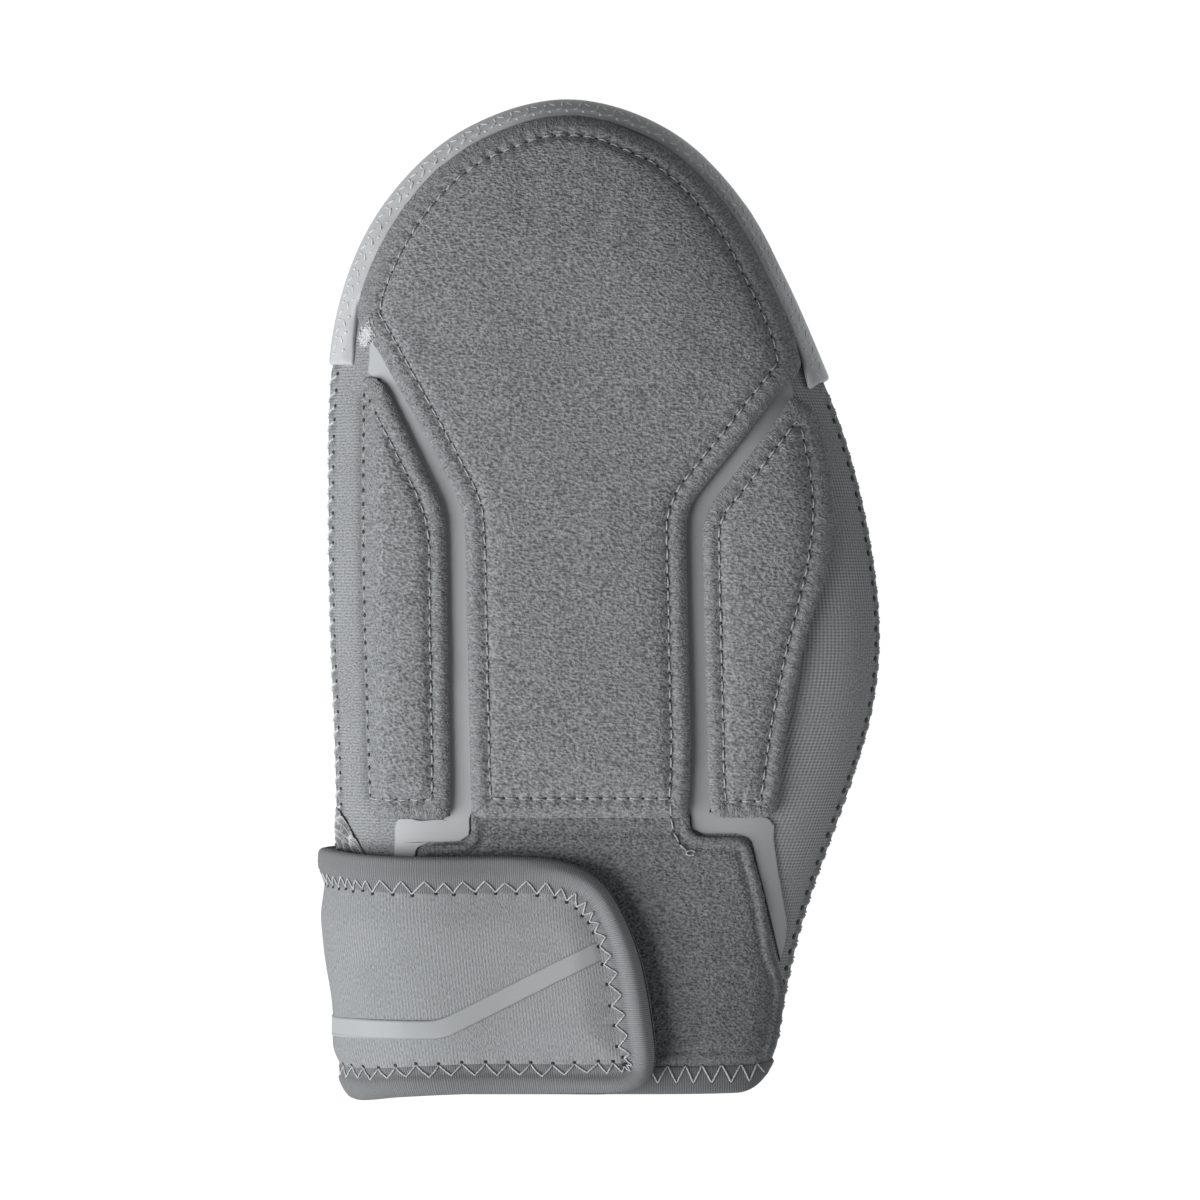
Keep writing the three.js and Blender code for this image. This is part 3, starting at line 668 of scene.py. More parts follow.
def cut_near_end(piece, run, choose):
    """Cuts a loop of edges across the chosen faces, square to the seam."""
    place, direction = line_frame(side_seam, run)
    only(piece)
    bpy.ops.object.mode_set(mode="EDIT")
    bpy.ops.mesh.select_all(action="DESELECT")
    bpy.ops.object.mode_set(mode="OBJECT")
    for face in piece.data.polygons:
        face.select = bool(choose(face.center / MM))
    bpy.ops.object.mode_set(mode="EDIT")
    bpy.ops.mesh.bisect(plane_co=Vector((*place, 0)) * MM, plane_no=(*direction, 0))
    bpy.ops.object.mode_set(mode="OBJECT")


guard_start = seam_run(left_side, GUARD_LEFT_END)
guard_stop = seam_run(right_side, GUARD_RIGHT_END)
for near_end in (0.7, 2.0):
    cut_near_end(finger_guard, guard_start + near_end, lambda c: c.x < -40 and c.y < 72)
    cut_near_end(finger_guard, guard_stop - near_end, lambda c: c.x > 30 and c.y < 72)
soften(finger_guard, 3)
points, normals = points_of(finger_guard), normals_of(finger_guard)
inset, along = measured_from(side_seam, points[:, :2])
toward_tip = smooth_step(60, 112, points[:, 1])
points += normals * (GUARD_GROWN + TIP_GROWN * toward_tip * (inset < 1.5))[:, None]
print(f"finger guard: {guard_stop - guard_start:.0f} mm along the seam")

# %% [markdown]
# ### Worn lip and painted shade at the tips
# At its left end the guard's upper lip is worn thin and lies down on the knit. There it is drawn in a little,
# thinned with its depth and feathered along its free edge. Where that edge lies comes from the deepest point
# of the lip in each millimetre along the seam. Both ends run on a little towards the wrist. At the fingertips
# the rubber is painted darker, a painted shade where the tips face away from the light, which a painted
# measure tells the finish.

# %% Worn lip and painted shade at the tips
LIP_DRAWN_IN, LIP_THINNED, LIP_FEATHER, LIP_LET_DOWN = 1.3, 0.35, 0.9, 0.8
LEFT_RUN_ON, RIGHT_RUN_ON = 1.0, 1.7
GUARD_TIP_SHADE, MARK_TIP_SHADE = 0.62, 0.35


def tip_shade(points):
    """How much painted shade darkens the rubber: most at the fingertips."""
    x, y = points[:, 0], points[:, 1]
    return smooth_step(-34, -10, x) * (1 - 0.6 * smooth_step(8, 26, x)) * (y > 84)


left_end = smooth_step(78, 70, points[:, 1]) * (points[:, 0] < 0)
above_seam = points[:, 2] > SEAM_HEIGHT
lip_bins = np.round(along).astype(int)
lip_depth = np.zeros(lip_bins.max() + 1)
np.maximum.at(lip_depth, lip_bins, np.where((normals[:, 2] > 0.3) & above_seam, inset, 0))
with_lip = np.nonzero(lip_depth > 1)[0]
from_lip_edge = np.interp(along, with_lip, lip_depth[with_lip]) - inset
on_lip = (normals[:, 2] > -0.3) & (inset > 1.2)
under_lip = (normals[:, 2] <= -0.3) & (inset > 1.2) & above_seam
lip_rise = np.maximum(points[:, 2] - back_height(points[:, :2]) - 0.3 + 0.5 * left_end, 0)
thinned = LIP_THINNED * left_end * smooth_step(1.0, 4.0, inset)
feather = LIP_FEATHER * left_end * (1 - smooth_step(0, 1.0, from_lip_edge))
points[:, 0] += LIP_DRAWN_IN * left_end * smooth_step(1.0, 3.4, inset) * above_seam
points[:, 2] -= on_lip * lip_rise * (1 - (1 - thinned) * (1 - feather))
points[:, 2] -= LIP_LET_DOWN * left_end * under_lip
points[:, 1] -= LEFT_RUN_ON * smooth_step(67, 61, points[:, 1]) * (points[:, 0] < 0)
at_right = smooth_step(64, 57, points[:, 1]) * smooth_step(1.5, 5, inset) * (points[:, 0] > 0)
points[:, 1] -= RIGHT_RUN_ON * at_right
move_points(finger_guard, points)
# Painted shade on the guard, darkest at the fingertips.
paint(finger_guard, "painted_tip_shade", GUARD_TIP_SHADE * tip_shade(points))
hand_over(finger_guard, guard_rubber, "guard", "finger_guard")

# %% [markdown]
# ### Grip marks on the guard
# The outer band of the guard carries small raised marks in a repeat of 4.4 mm: a short upright bar and a
# slanted one, and further in a smaller slanted bar and a dot, which lie deeper on the outer side of the hand.
# They could be a bump in the finish, but raised marks catch the light from every side, so each is a small
# closed shape, modelled once and copied.

# %% Grip marks
MARK_REPEAT, MARK_START = 4.4, 2.2
OUTER_SHARE, OUTER_DEEPER = 0.35, 1.35  # the part of the guard where the inner marks lie deeper
grip_mark = small_shape("grip_mark_shape", half_length=1.15, half_width=0.33, half_height=0.13)
GRIP_MARKS = [  # place in the repeat, depth in from the seam, half length and turn from the seam's direction
    (0.0, -0.75, 0.85, 90), (1.75, -0.8, 1.1, -24), (3.75, 0.55, 0.95, 26), (1.1, 1.2, 0.45, -35),
]
guard_surface = surface_of(finger_guard)
placings = []
repeats = int((guard_stop - guard_start - 3) / MARK_REPEAT)
for k in range(repeats):
    share = k / repeats
    for shift, depth, half, turn in GRIP_MARKS:
        deeper = depth * (OUTER_DEEPER if share < OUTER_SHARE and depth > 0 else 1.0)
        place, direction = line_frame(side_seam, guard_start + MARK_START + k * MARK_REPEAT + shift)
        inward = np.array([direction[1], -direction[0]])
        x, y = place + inward * deeper
        touch, normal = drop(guard_surface, x, y)
        if touch is None:
            continue
        slant = math.radians(turn)
        along = direction * math.cos(slant) - inward * math.sin(slant)
        axes = frame_on(normal, (*along, -along @ np.array(normal[:2]) / max(normal[2], 0.3)))
        placings.append((touch + normal * 0.02, axes * np.array([half, 1.0, 1.0])))
grip_marks = scattered("guard_grip_marks", grip_mark, placings, mark_rubber_painted_light, "guard")
# The same painted shade darkens the grip marks at the fingertips.
paint(grip_marks, "painted_tip_shade", MARK_TIP_SHADE * tip_shade(points_of(grip_marks)))
bpy.data.objects.remove(grip_mark)
print(f"grip marks: {len(placings)}")

# %% [markdown]
# ## Foam pads
# Each pad is foam under loop cloth, sewn down near its edge. It starts as a voxel remesh of its solid, which
# gives an even mesh for a cloth simulation. The border outside the stitches is cut back to a roll, which is
# wider and tighter on the thumb side and meets the guard's lip at the lip's own height. The line of stitches
# is pushed down and held with the underside, and a little air pressure swells the rest, so the middle crowns
# and the border rounds over. The outer pad's left border has no foam and is feathered to its stitches.

# %% Pad maker
PAD_VOXEL = 1.5
PAD_ROLL = 2.0
THUMB_WIDER, THUMB_TIGHTER = 1.2, 0.9  # how the border and its roll differ on the thumb side
SEATED = -0.3  # how far an underside is let into the cloth below it
LIP_COVER = 0.5  # how far the centre pad's edge reaches over the guard's lip
GUARD_LIP = 4.9  # height of the pad where it meets that lip
STITCH_SINK = 1.0
LOCK_PITCH, LOCK_LENGTH = 3.5, 2.5
THREAD_PRESS, HOLE_PRESS, NAP_RISE = 0.15, 0.45, 0.32  # how a stitch shapes the nap under and beside it
SWELL_CAP = 0.8
PATCH_MIDDLE, PATCH_HALF = -4, 24  # where the wrist patch meets the centre pad
NAP_PLAIN = 9.0  # an inset far from any edge, where the nap is not combed


def turning(line):
    """1 for an outline that runs anticlockwise, -1 for the other way."""
    x, y = line[:, 0], line[:, 1]
    return 1 if np.sum(x * np.roll(y, -1) - y * np.roll(x, -1)) > 0 else -1


def inward_of(outline):
    """Direction into an outline at each of its points."""
    direction = np.gradient(outline, axis=0)
    direction /= np.linalg.norm(direction, axis=1)[:, None]
    return np.stack([-direction[:, 1], direction[:, 0]], axis=1) * turning(outline)


def inset_line(outline, inset):
    """Line inside an outline at an even distance from it."""
    line = outline + inward_of(outline) * inset
    clear = measured_from(outline, line)[0] > inset - 0.1
    return even_line(np.vstack([line[clear], line[clear][:1]]))


def hole_start(pitch):
    """Run of the first needle hole along a line of stitches."""
    return 0.2 * pitch + (LOCK_PITCH + LOCK_LENGTH) / 2


def swell(piece, held, frames=20):
    """A short cloth simulation with air pressure, cut off where it goes too far."""
    group = piece.vertex_groups.new(name="held")
    group.add([int(i) for i in np.nonzero(held)[0]], 1.0, "REPLACE")
    start = points_of(piece)
    cloth = piece.modifiers.new("swell", "CLOTH")
    cloth.settings.quality = 5
    cloth.settings.use_pressure = True
    cloth.settings.uniform_pressure_force = 4
    cloth.settings.vertex_group_mass = "held"
    cloth.settings.effector_weights.gravity = 0
    cloth.collision_settings.use_collision = False
    cloth.point_cache.frame_end = frames
    for moment in range(1, frames + 1):
        bpy.context.scene.frame_set(moment)
    only(piece)
    bpy.ops.object.modifier_apply(modifier=cloth.name)
    bpy.context.scene.frame_set(1)
    moved = points_of(piece) - start
    reach = np.linalg.norm(moved, axis=1)
    move_points(piece, start + moved * np.minimum(1, SWELL_CAP / np.maximum(reach, 1e-9))[:, None])
    print(f"{piece.name}: swelled {reach.max():.2f} mm, kept {min(reach.max(), SWELL_CAP):.2f} mm")


def settled(places):
    """Plan places with the channel by the thumb pad moved a little nearer the middle, most at the wrist."""
    x, y = places[:, 0], places[:, 1]
    along_channel = smooth_step(38, 18, y) * smooth_step(-76, -64, y)
    at_wrist = smooth_step(-38, -54, y)
    shift = 0.9 + at_wrist * (1.0 - 1.25 * smooth_step(25.7, 29.5, x))
    jog = smooth_step(-57, -59.5, y) * smooth_step(-70, -63, y)
    nearer = x - shift * along_channel * smooth_step(4, 18, x) * smooth_step(46, 33, x)
    raised = y + (1.2 * smooth_step(14, 22, x) + 0.6 * smooth_step(25, 38, x)) * jog
    return np.stack([nearer, raised], axis=1)


def settle(piece):
    points = points_of(piece)
    points[:, :2] = settled(points)
    move_points(piece, points)


def over_patch(points, below):
    """True for places above the wrist patch, from a line across the hand down."""
    return (points[:, 1] < below) & (np.abs(points[:, 0] - PATCH_MIDDLE) < PATCH_HALF)


def press_stitches(piece, stitches):
    """Presses thread and needle holes into the nap, which rises a little beside them."""
    points = points_of(piece)
    from_stitch, stitch_run = measured_from(stitches, points[:, :2])
    on_top = smooth_step(0.2, 0.6, normals_of(piece)[:, 2])
    on_top *= smooth_step(0.2, 1.6, points[:, 2] - back_height(points[:, :2]))
    length = (len(stitches) - 1) * LINE_STEP
    pitch = length / round(length / LOCK_PITCH)
    at_hole = 0.5 + 0.5 * np.cos(2 * math.pi * (stitch_run - hole_start(pitch)) / pitch)
    points[:, 2] -= (THREAD_PRESS + HOLE_PRESS * at_hole) * hump(from_stitch, 0.9) * on_top
    points[:, 2] += NAP_RISE * (0.5 - at_hole) * hump(from_stitch - 1.4, 0.9) * on_top
    move_points(piece, points)


def foam_pad(node, name, height, roll_height, stitches=None, stitch_inset=5.0, border=None):
    piece = copy_of(node, name)
    settle(piece)
    outline = plan_outline(piece)
    if stitches is None:
        stitches = inset_line(outline, stitch_inset)
    apply(piece, "REMESH", mode="VOXEL", voxel_size=PAD_VOXEL * MM)
    apply(piece, "SMOOTH", factor=0.5, iterations=2)
    points, normals = points_of(piece), normals_of(piece)
    inset, along = measured_from(outline, points[:, :2])
    by_guard = smooth_step(65, 69, outline[:, 1]) * (measured_from(side_seam, outline)[0] < 8)
    widened = LIP_COVER * by_guard * (1 + (outline[:, 0] < -40))
    widened += THUMB_WIDER * smooth_step(45, 50, outline[:, 0]) * smooth_step(-8, 8, outline[:, 1])
    outline = outline - inward_of(outline) * widened[:, None]
    edge = outline[index_at(along)]
    points[:, :2] += (edge - points[:, :2]) * (0.97 * (1 - smooth_step(0.2, 1.8, inset)))[:, None]
    inset, along = measured_from(outline, points[:, :2])
    under = normals[:, 2] < -0.3
    ground = back_height(points[:, :2])
    roll_width = PAD_ROLL - THUMB_TIGHTER * smooth_step(44, 50, points[:, 0])
    roll = np.sqrt(1 - (1 - np.clip((inset + 0.25) / roll_width, 0, 1)) ** 2)
    limit = roll_height * roll + (height - roll_height) * smooth_step(PAD_ROLL, 4 * PAD_ROLL, inset)
    on_guard = by_guard[index_at(along)]
    tight_roll = np.sqrt(1 - (1 - np.clip((inset + 0.3) / 1.3, 0, 1)) ** 2)
    limit = np.maximum(limit, GUARD_LIP * on_guard * tight_roll)
    if border:
        limit = border(points, limit)
    on_top = smooth_step(0.2, 0.6, normals[:, 2])
    kept = np.minimum(points[:, 2] - ground, limit)
    rise = np.where(under, SEATED, kept + (limit - kept) * on_top)
    from_stitch, _ = measured_from(stitches, points[:, :2])
    sewn_row = hump(from_stitch, 1.3) * on_top
    points[:, 2] = ground + rise - STITCH_SINK * sewn_row * smooth_step(0.6, 2.6, rise)
    move_points(piece, points)
    apply(piece, "SMOOTH", factor=0.5, iterations=1)
    swell(piece, under | (sewn_row > 0.5) | (inset < 0.6))
    middle = piece.vertex_groups.new(name="middle")
    middle.add([int(i) for i in np.nonzero(on_top * (inset > stitch_inset + 2.5))[0]], 1.0, "REPLACE")
    apply(piece, "SMOOTH", factor=0.5, iterations=14, vertex_group="middle")
    soften(piece, 1)
    press_stitches(piece, stitches)
    points = points_of(piece)
    inset, along = measured_from(outline, points[:, :2])
    paint(piece, "inset", np.where(over_patch(points, -49), NAP_PLAIN, inset))
    paint(piece, "along", along)
    hand_over(piece, pad_cloth, "loop", node)
    return piece, stitches, outline


# %% [markdown]
# ### Three pads
# The centre pad does not roll under at the wrist patch but ends on it in a shoulder. The outer pad's left row
# of stitches lies on its thin border, nearly level with the knit, so the whole line of its stitches is given.
# The stitches of the other two follow the pad's own edge.

# %% Three pads
SHOULDER = 2.5  # height at which the centre pad ends on the wrist patch
OUTER_STITCHES = [(-59.6, 53.2, 1), (-45.2, 25.2, 6), (-42.9, 17, 6), (-42.1, -50.2, 1), (-58.0, -50.2, 1)]
OUTER_STITCHES += [(-59.9, 10, 30)]


def centre_border(points, limit):
    """The pad ends in a shoulder on the wrist patch, not in a roll."""
    return np.where(over_patch(points, -46), np.maximum(limit, SHOULDER), limit)


def outer_border(points, limit):
    """The left border sinks to the stitches on the knit."""
    from_left = points[:, 0] + 60.4 - 0.02 * np.clip(10 - points[:, 1], 0, 65)
    return np.minimum(limit, 0.2 + 4.8 * smooth_step(-0.2, 6.8, from_left))


def closed(corners):
    line = rounded_outline(corners)
    return even_line(np.vstack([line, line[:1]]))


centre_pad, centre_stitches, centre_edge = foam_pad(
    "centre_pad", "centre_foam_pad", height=5.3, roll_height=4.5, border=centre_border
)
outer_pad, outer_stitches, outer_edge = foam_pad(
    "outer_side_pad", "outer_foam_pad", height=4.6, roll_height=4.1,
    stitches=closed(OUTER_STITCHES), border=outer_border,
)
thumb_pad, thumb_stitches, thumb_edge = foam_pad(
    "thumb_side_pad", "thumb_foam_pad", height=4.6, roll_height=3.9, stitch_inset=4.2
)

# %% [markdown]
# ## Wrist patch
# The loop cloth runs on down the wrist as a thin patch, where the strap's hooks grip. It is too thin for
# foam, so its solid is only remeshed fine and smoothed. A row of stitches presses a shallow groove near its
# free edges, and the cloth outside it rolls up into a soft lip. Its upper end is tucked under the centre pad.
# Near the hem it reaches a little further to the thumb side, and it lies down flat under the hem's tape.

# %% Wrist patch
PATCH_VOXEL = 0.7
PATCH_ROW, PATCH_LIP = 3.2, 1.4  # how far in from the free edge the groove and the lip lie
patch = copy_of("wrist_loop_patch", "wrist_loop_cloth")
settle(patch)
patch_edge = plan_outline(patch)
apply(patch, "REMESH", mode="VOXEL", voxel_size=PATCH_VOXEL * MM)
apply(patch, "SMOOTH", factor=0.5, iterations=2)
points, normals = points_of(patch), normals_of(patch)
inset, along = measured_from(patch_edge, points[:, :2])
on_top = smooth_step(0.2, 0.6, normals[:, 2])
free_edge = on_top * smooth_step(-56, -58, points[:, 1])
points[:, 2] -= 0.6 * hump(inset - PATCH_ROW, 0.8) * free_edge
points[:, 2] += 0.5 * hump(inset - PATCH_LIP, 1.0) * free_edge
points[normals[:, 2] < -0.3, 2] -= 0.6
ground = back_height(points[:, :2])
points[:, 1] += 3.0 * smooth_step(-59, -56, points[:, 1])
toward_hem = smooth_step(-86, -100, points[:, 1]) * (1 - 0.75 * smooth_step(-104, -119, points[:, 1]))
points[:, 0] += 3.3 * toward_hem * smooth_step(20, 41, points[:, 0])
points[:, 1] -= 1.4 * smooth_step(-115, -118.4, points[:, 1])
points[:, 2] += (back_height(points[:, :2]) - ground) * (points[:, 1] < -70)
at_hem = smooth_step(-114, -118.6, points[:, 1])
points[:, 2] -= at_hem * np.maximum(points[:, 2] - back_height(points[:, :2]) - 0.7, 0)
move_points(patch, points)
paint(patch, "inset", np.where(points[:, 1] > -58, NAP_PLAIN, inset))
paint(patch, "along", along)
hand_over(patch, patch_cloth, "loop", "wrist_loop_patch")

# %% [markdown]
# ### Tufts on the rolled borders
# On the rolls round each pad the nap stands up in tufts, which blur the edge of the pad against the film. A
# bump can't break an outline, so these are real: one slim eight-sided shape, copied in thousands along the
# edge, each lying square to it with its own tilt and size.

# %% Tufts
random.seed(3)
TUFTS_PER_MM, TUFT_BAND = 5.0, 3.4
TUFT_SIZES = ((0.4, 0.75), (0.13, 0.2), (0.1, 0.17))  # ranges of half length, half width and half height
tuft_shape = small_shape("tuft_shape", 1.0, 1.0, 1.0, sides=4, rings=2)


def drawn_size(ranges):
    return np.array([random.uniform(*span) for span in ranges])


def tufts(name, pad, outline, keep=None):
    surface = surface_of(pad)
    inward = inward_of(outline)
    placings = []
    for _ in range(int(len(outline) * LINE_STEP * TUFTS_PER_MM)):
        i = random.randrange(len(outline))
        depth = 0.2 + TUFT_BAND * random.random() ** 1.5
        tilt = random.gauss(0, 0.45)
        sizes = drawn_size(TUFT_SIZES)
        place = outline[i] + inward[i] * depth
        if keep and not keep(place):
            continue
        touch, normal = drop(surface, *place)
        if touch is None or normal.z < 0.05:
            continue
        out = -inward[i]
        aim = (out[0] - tilt * out[1], out[1] + tilt * out[0], -0.3)
        placings.append((touch, frame_on(normal, aim) * sizes))
    scattered(name, tuft_shape, placings, nap_fibre, "loop")


tufts("centre_pad_tufts", centre_pad, centre_edge, lambda place: place[1] > -50)
tufts("outer_pad_tufts", outer_pad, outer_edge)
tufts("thumb_pad_tufts", thumb_pad, thumb_edge)

# %% [markdown]
# ## Film strips
# Two strips of bonded film fill the channels between the pads. They are half a millimetre thick, so each
# stays a thin slab. Smooth subdivision would round its corners off, so it is subdivided simply, laid on the
# dressed back, and only then bevelled a little along its cut edges. Each runs on a little under the pads, and
# its free corners are drawn out to a point.

# %% Film strips
FILM_TOP = 0.75
FILM_TUCK = 1.0  # how far the film runs on under the pads
FILM_BEVEL = 0.2
CORNER_PULL = 2.5  # how far round a corner its pull reaches


def upper_points(piece, rise=0.5):
    """True for the points of the faces that look up."""
    upper = np.zeros(len(piece.data.vertices), bool)
    for face in piece.data.polygons:
        if face.normal.z > rise:
            upper[list(face.vertices)] = True
    return upper


def under_pads(places, pad_edges):
    """Plan places with those near a pad's edge drawn in under it."""
    moved = places.copy()
    for edge in pad_edges:
        away, along = measured_from(edge, places)
        inward = inward_of(edge)[index_at(along)]
        moved += inward * (FILM_TUCK * (1 - smooth_step(0.3, 1.7, away)))[:, None]
    return moved


def film_piece(node, name, finish, end, pulls, *pad_edges):
    def shaped(places):
        """Plan places moved with the channel, the strip's far end cut short and its corners drawn out."""
        places = settled(places)
        places[:, 0] = np.where(places[:, 1] > 44, np.minimum(places[:, 0], end), places[:, 0])
        moved = places.copy()
        for x, y, *pull in pulls:
            away = np.hypot(places[:, 0] - x, places[:, 1] - y)
            moved += hump(away, CORNER_PULL)[:, None] * np.array(pull)
        return moved

    piece = copy_of(node, name)
    outline = under_pads(shaped(plan_outline(piece, blur=1)), pad_edges)
    apply(piece, "SUBSURF", levels=3, render_levels=3, subdivision_type="SIMPLE")
    points = points_of(piece)
    points[:, :2] = under_pads(shaped(points[:, :2]), pad_edges)
    ground = back_height(points[:, :2])
    points[:, 2] = ground + np.where(upper_points(piece), FILM_TOP, SEATED)
    move_points(piece, points)
    sharp = math.radians(50)
    apply(piece, "BEVEL", width=FILM_BEVEL * MM, segments=2, limit_method="ANGLE", angle_limit=sharp)
    inset, _ = measured_from(outline, points_of(piece)[:, :2])
    paint(piece, "inset", inset)
    hand_over(piece, finish, "film", node)


LEFT_CORNERS = [(-49.5, -57.0, -1.0, 0.8), (-56.4, 63.5, -0.9, 0.9)]  # place of a corner, and its pull
RIGHT_CORNERS = [(41.2, -57.2, 1.5, 1.0)]
NOT_CUT, RIGHT_CUT = 99, 48.8  # x at which a strip's far end is cut off
film_piece(
    "film_strip_left", "channel_film_left", channel_film, NOT_CUT, LEFT_CORNERS, outer_edge, centre_edge
)
film_piece(
    "film_strip_right", "channel_film_right", shaded_film, RIGHT_CUT, RIGHT_CORNERS, thumb_edge, centre_edge
)

# %% [markdown]
# ## Wrist strap
# The strap is cut flat and wraps round the wrist, so its sewing is planned on the flat cut: w runs round the
# wrist from the side seam and y along the hand. The same rule that laid the solid on the wrist takes a flat
# place to the body, and a tree of such places takes a point of the dressed strap back to the flat cut.

# %% Strap, flat and wrapped
STRAP_THICKNESS = 2.2
STRAP_TAIL, STRAP_END = -18, 93
STRAP_CUT = [(STRAP_TAIL, -63.4, 0), (8, -63.6, 8), (30, -65.2, 12), (90.5, -64.6, 24), (92.6, -125.2, 13)]
STRAP_CUT += [(40, -125, 12), (14, -127.3, 12), (STRAP_TAIL, -124, 0)]
# w, and how far off the body the strap lies there
STRAP_LIE = [(-24, -3.5), (-16, -3.3), (0, 1.3), (16, 2.0), (30, 3.3), (42, 3.5), (95, 3.6)]
# y, and the height of the back over the seam there
BACK_RISE = [(-150, 12.5), (-110, 13.5), (-50, 16.5), (10, 18)]
WRAP_STEP = 0.5
strap_edge = even_line(rounded_outline(STRAP_CUT))


def on_wrist(w, y, height):
    """Place on the body of a flat place on the strap."""
    on_back = w >= 0
    width = BACK_ROUND if on_back else PALM_ROUND
    rise = np.interp(y, *zip(*BACK_RISE)) if on_back else -SEAM_HEIGHT
    turn = min(abs(w) / width, math.pi / 2)
    inset = width * (1 - math.cos(turn)) + max(0.0, abs(w) - width * math.pi / 2)
    cosine = max(0.0, 1 - inset / width)
    sine = math.sqrt(1 - cosine**2)
    seam_x = np.interp(y, left_side[:, 1], left_side[:, 0])
    out = Vector((-cosine / width, 0, sine / rise)).normalized()
    lift = np.interp(w, *zip(*STRAP_LIE)) + height
    return Vector((seam_x + inset, y, SEAM_HEIGHT + rise * sine)) + out * lift


wrap_round = np.arange(STRAP_TAIL, STRAP_END + 0.5, WRAP_STEP)
wrap = [(w, y) for w in wrap_round for y in np.arange(-127.5, -62.5, 1.0)]
wrap_tree = KDTree(len(wrap))
for i, (w, y) in enumerate(wrap):
    wrap_tree.insert(on_wrist(w, y, STRAP_THICKNESS / 2), i)
wrap_tree.balance()


def flat_place(points):
    """Flat place of points on the strap: the nearest place in the tree, moved on by what is left over."""
    flat = np.empty((len(points), 2))
    probe = 0.3
    for k, point in enumerate(points):
        w, _ = wrap[wrap_tree.find(Vector(point))[1]]
        here = on_wrist(w, point[1], STRAP_THICKNESS / 2)
        step = on_wrist(w + probe, point[1], STRAP_THICKNESS / 2) - here
        flat[k] = w + probe * (Vector(point) - here).dot(step) / step.length_squared, point[1]
    return flat


STRAP_BEND = (6.6, -77.7)  # middle of the free end's upper corner, which is cut a little closer


def strap_set(points):
    """How the worn strap sits: upper corner and lower edge drawn in, free end off the wrist, fold uneven."""
    points = np.array(points, float)
    away = np.hypot(points[:, 0] - STRAP_BEND[0], points[:, 1] - STRAP_BEND[1])
    drawn = 2.0 * hump(away, 13)
    points[:, 0] -= 0.78 * drawn
    points[:, 1] -= 0.62 * drawn
    points[:, 1] += 1.1 * smooth_step(-117, -126.5, points[:, 1]) * smooth_step(-66, -50, points[:, 0])
    points[:, 2] += 2.2 * smooth_step(-30, 12, points[:, 0])
    flare = smooth_step(-70, -64, points[:, 1]) * smooth_step(-62, -68, points[:, 0])
    points[:, 0] -= 0.2 * flare
    by_fold = smooth_step(-57, -64, points[:, 0])
    points[:, 0] -= 1.2 * hump(points[:, 1] + 114.5, 4) * by_fold
    points[:, 0] += 1.0 * smooth_step(-120.5, -125.5, points[:, 1]) * by_fold
    points[:, 0] += 0.7 * hump(points[:, 1] + 102, 8) * by_fold
    return points


print(f"strap: cut {STRAP_END - STRAP_TAIL} x 64 mm, edge {len(strap_edge) * LINE_STEP:.0f} mm round")

# %% [markdown]
# ### Zigzag, planned on the flat
# Zigzag stitches hold the tape on the strap. Their corners are set out on the flat cut before the strap is
# shaped, because each inner corner pulls a small pucker into the cloth.

# %% Zigzag corners
random.seed(11)
ZIG_OUTER, ZIG_INNER, ZIG_STEP = 5.6, 8.4, 2.55
zig_corners = []
run, side = 4.0, 0
while run < (len(strap_edge) - 1) * LINE_STEP - 4:
    place, direction = line_frame(strap_edge, run)
    inward = np.array([direction[1], -direction[0]])
    in_corner = hump(place[0] - 88, 7) * hump(place[1] + 121, 7)
    wider = 1.3 * smooth_step(62, 82, place[0]) * (1 - in_corner)
    depth = (ZIG_INNER - 1.2 * in_corner if side else ZIG_OUTER) + wider + random.uniform(-0.3, 0.3)
    zig_corners.append(place + inward * depth)
    side = 1 - side
    crowded = place[0] < 25 and place[1] > -90
    run += ZIG_STEP * (0.58 if crowded else 1.0) * random.uniform(0.82, 1.18)
zig_inner = zig_corners[1::2]
pucker_tree = KDTree(len(zig_inner))
for i, (w, y) in enumerate(zig_inner):
    pucker_tree.insert((w, y, 0), i)
pucker_tree.balance()


def puckers(flat):
    """How far each place on the flat is pulled down by the nearest inner stitch."""
    away = np.array([pucker_tree.find((w, y, 0))[2] for w, y in flat])
    return 0.4 * hump(away, 1.2)


print(f"zigzag: {len(zig_corners)} corners on the strap")

# %% [markdown]
# ### Strap, binding and stripe
# The strap is neoprene in a folded tape. Sewing sinks the tape's inner edge level with the strap, the strap
# swells a little inside it, and the tape itself rolls over the edge as a soft bead, flatter towards the fold,
# where it is also painted darker, a painted shade against the light from the left. The strap's knit is
# painted a little darker on its left part too, as painted shade. The stripe is film: it is laid anew on the
# swollen strap, and its upper end is drawn out to the tape.

# %% Strap
STRAP_BAND = 9
STRAP_PUFF = 1.4


def strap_swell(inset):
    """How much the strap swells inside its binding."""
    return STRAP_PUFF * smooth_step(STRAP_BAND - 1, STRAP_BAND + 9, inset)


def out_of(w, y):
    return np.array(on_wrist(w, y, 1) - on_wrist(w, y, 0))


def strap_places(points):
    """Flat places, the outward direction at each, and the height over the strap's middle."""
    flat = flat_place(points)
    outs = np.array([out_of(w, y) for w, y in flat])
    middle = np.array([on_wrist(w, y, STRAP_THICKNESS / 2) for w, y in flat])
    return flat, outs, np.sum((points - middle) * outs, axis=1)


wrist_strap = copy_of("wrist_strap", "wrist_strap_neoprene")
soften(wrist_strap, 3)
points = points_of(wrist_strap)
flat, outs, above = strap_places(points)
inset, _ = measured_from(strap_edge, flat)
lift = strap_swell(inset) + 0.35 * smooth_step(STRAP_BAND - 2, STRAP_BAND, inset) - puckers(flat)
points += outs * (lift * (above > 0))[:, None]
move_points(wrist_strap, strap_set(points))
paint(wrist_strap, "across", flat[:, 0])
paint(wrist_strap, "down", flat[:, 1])
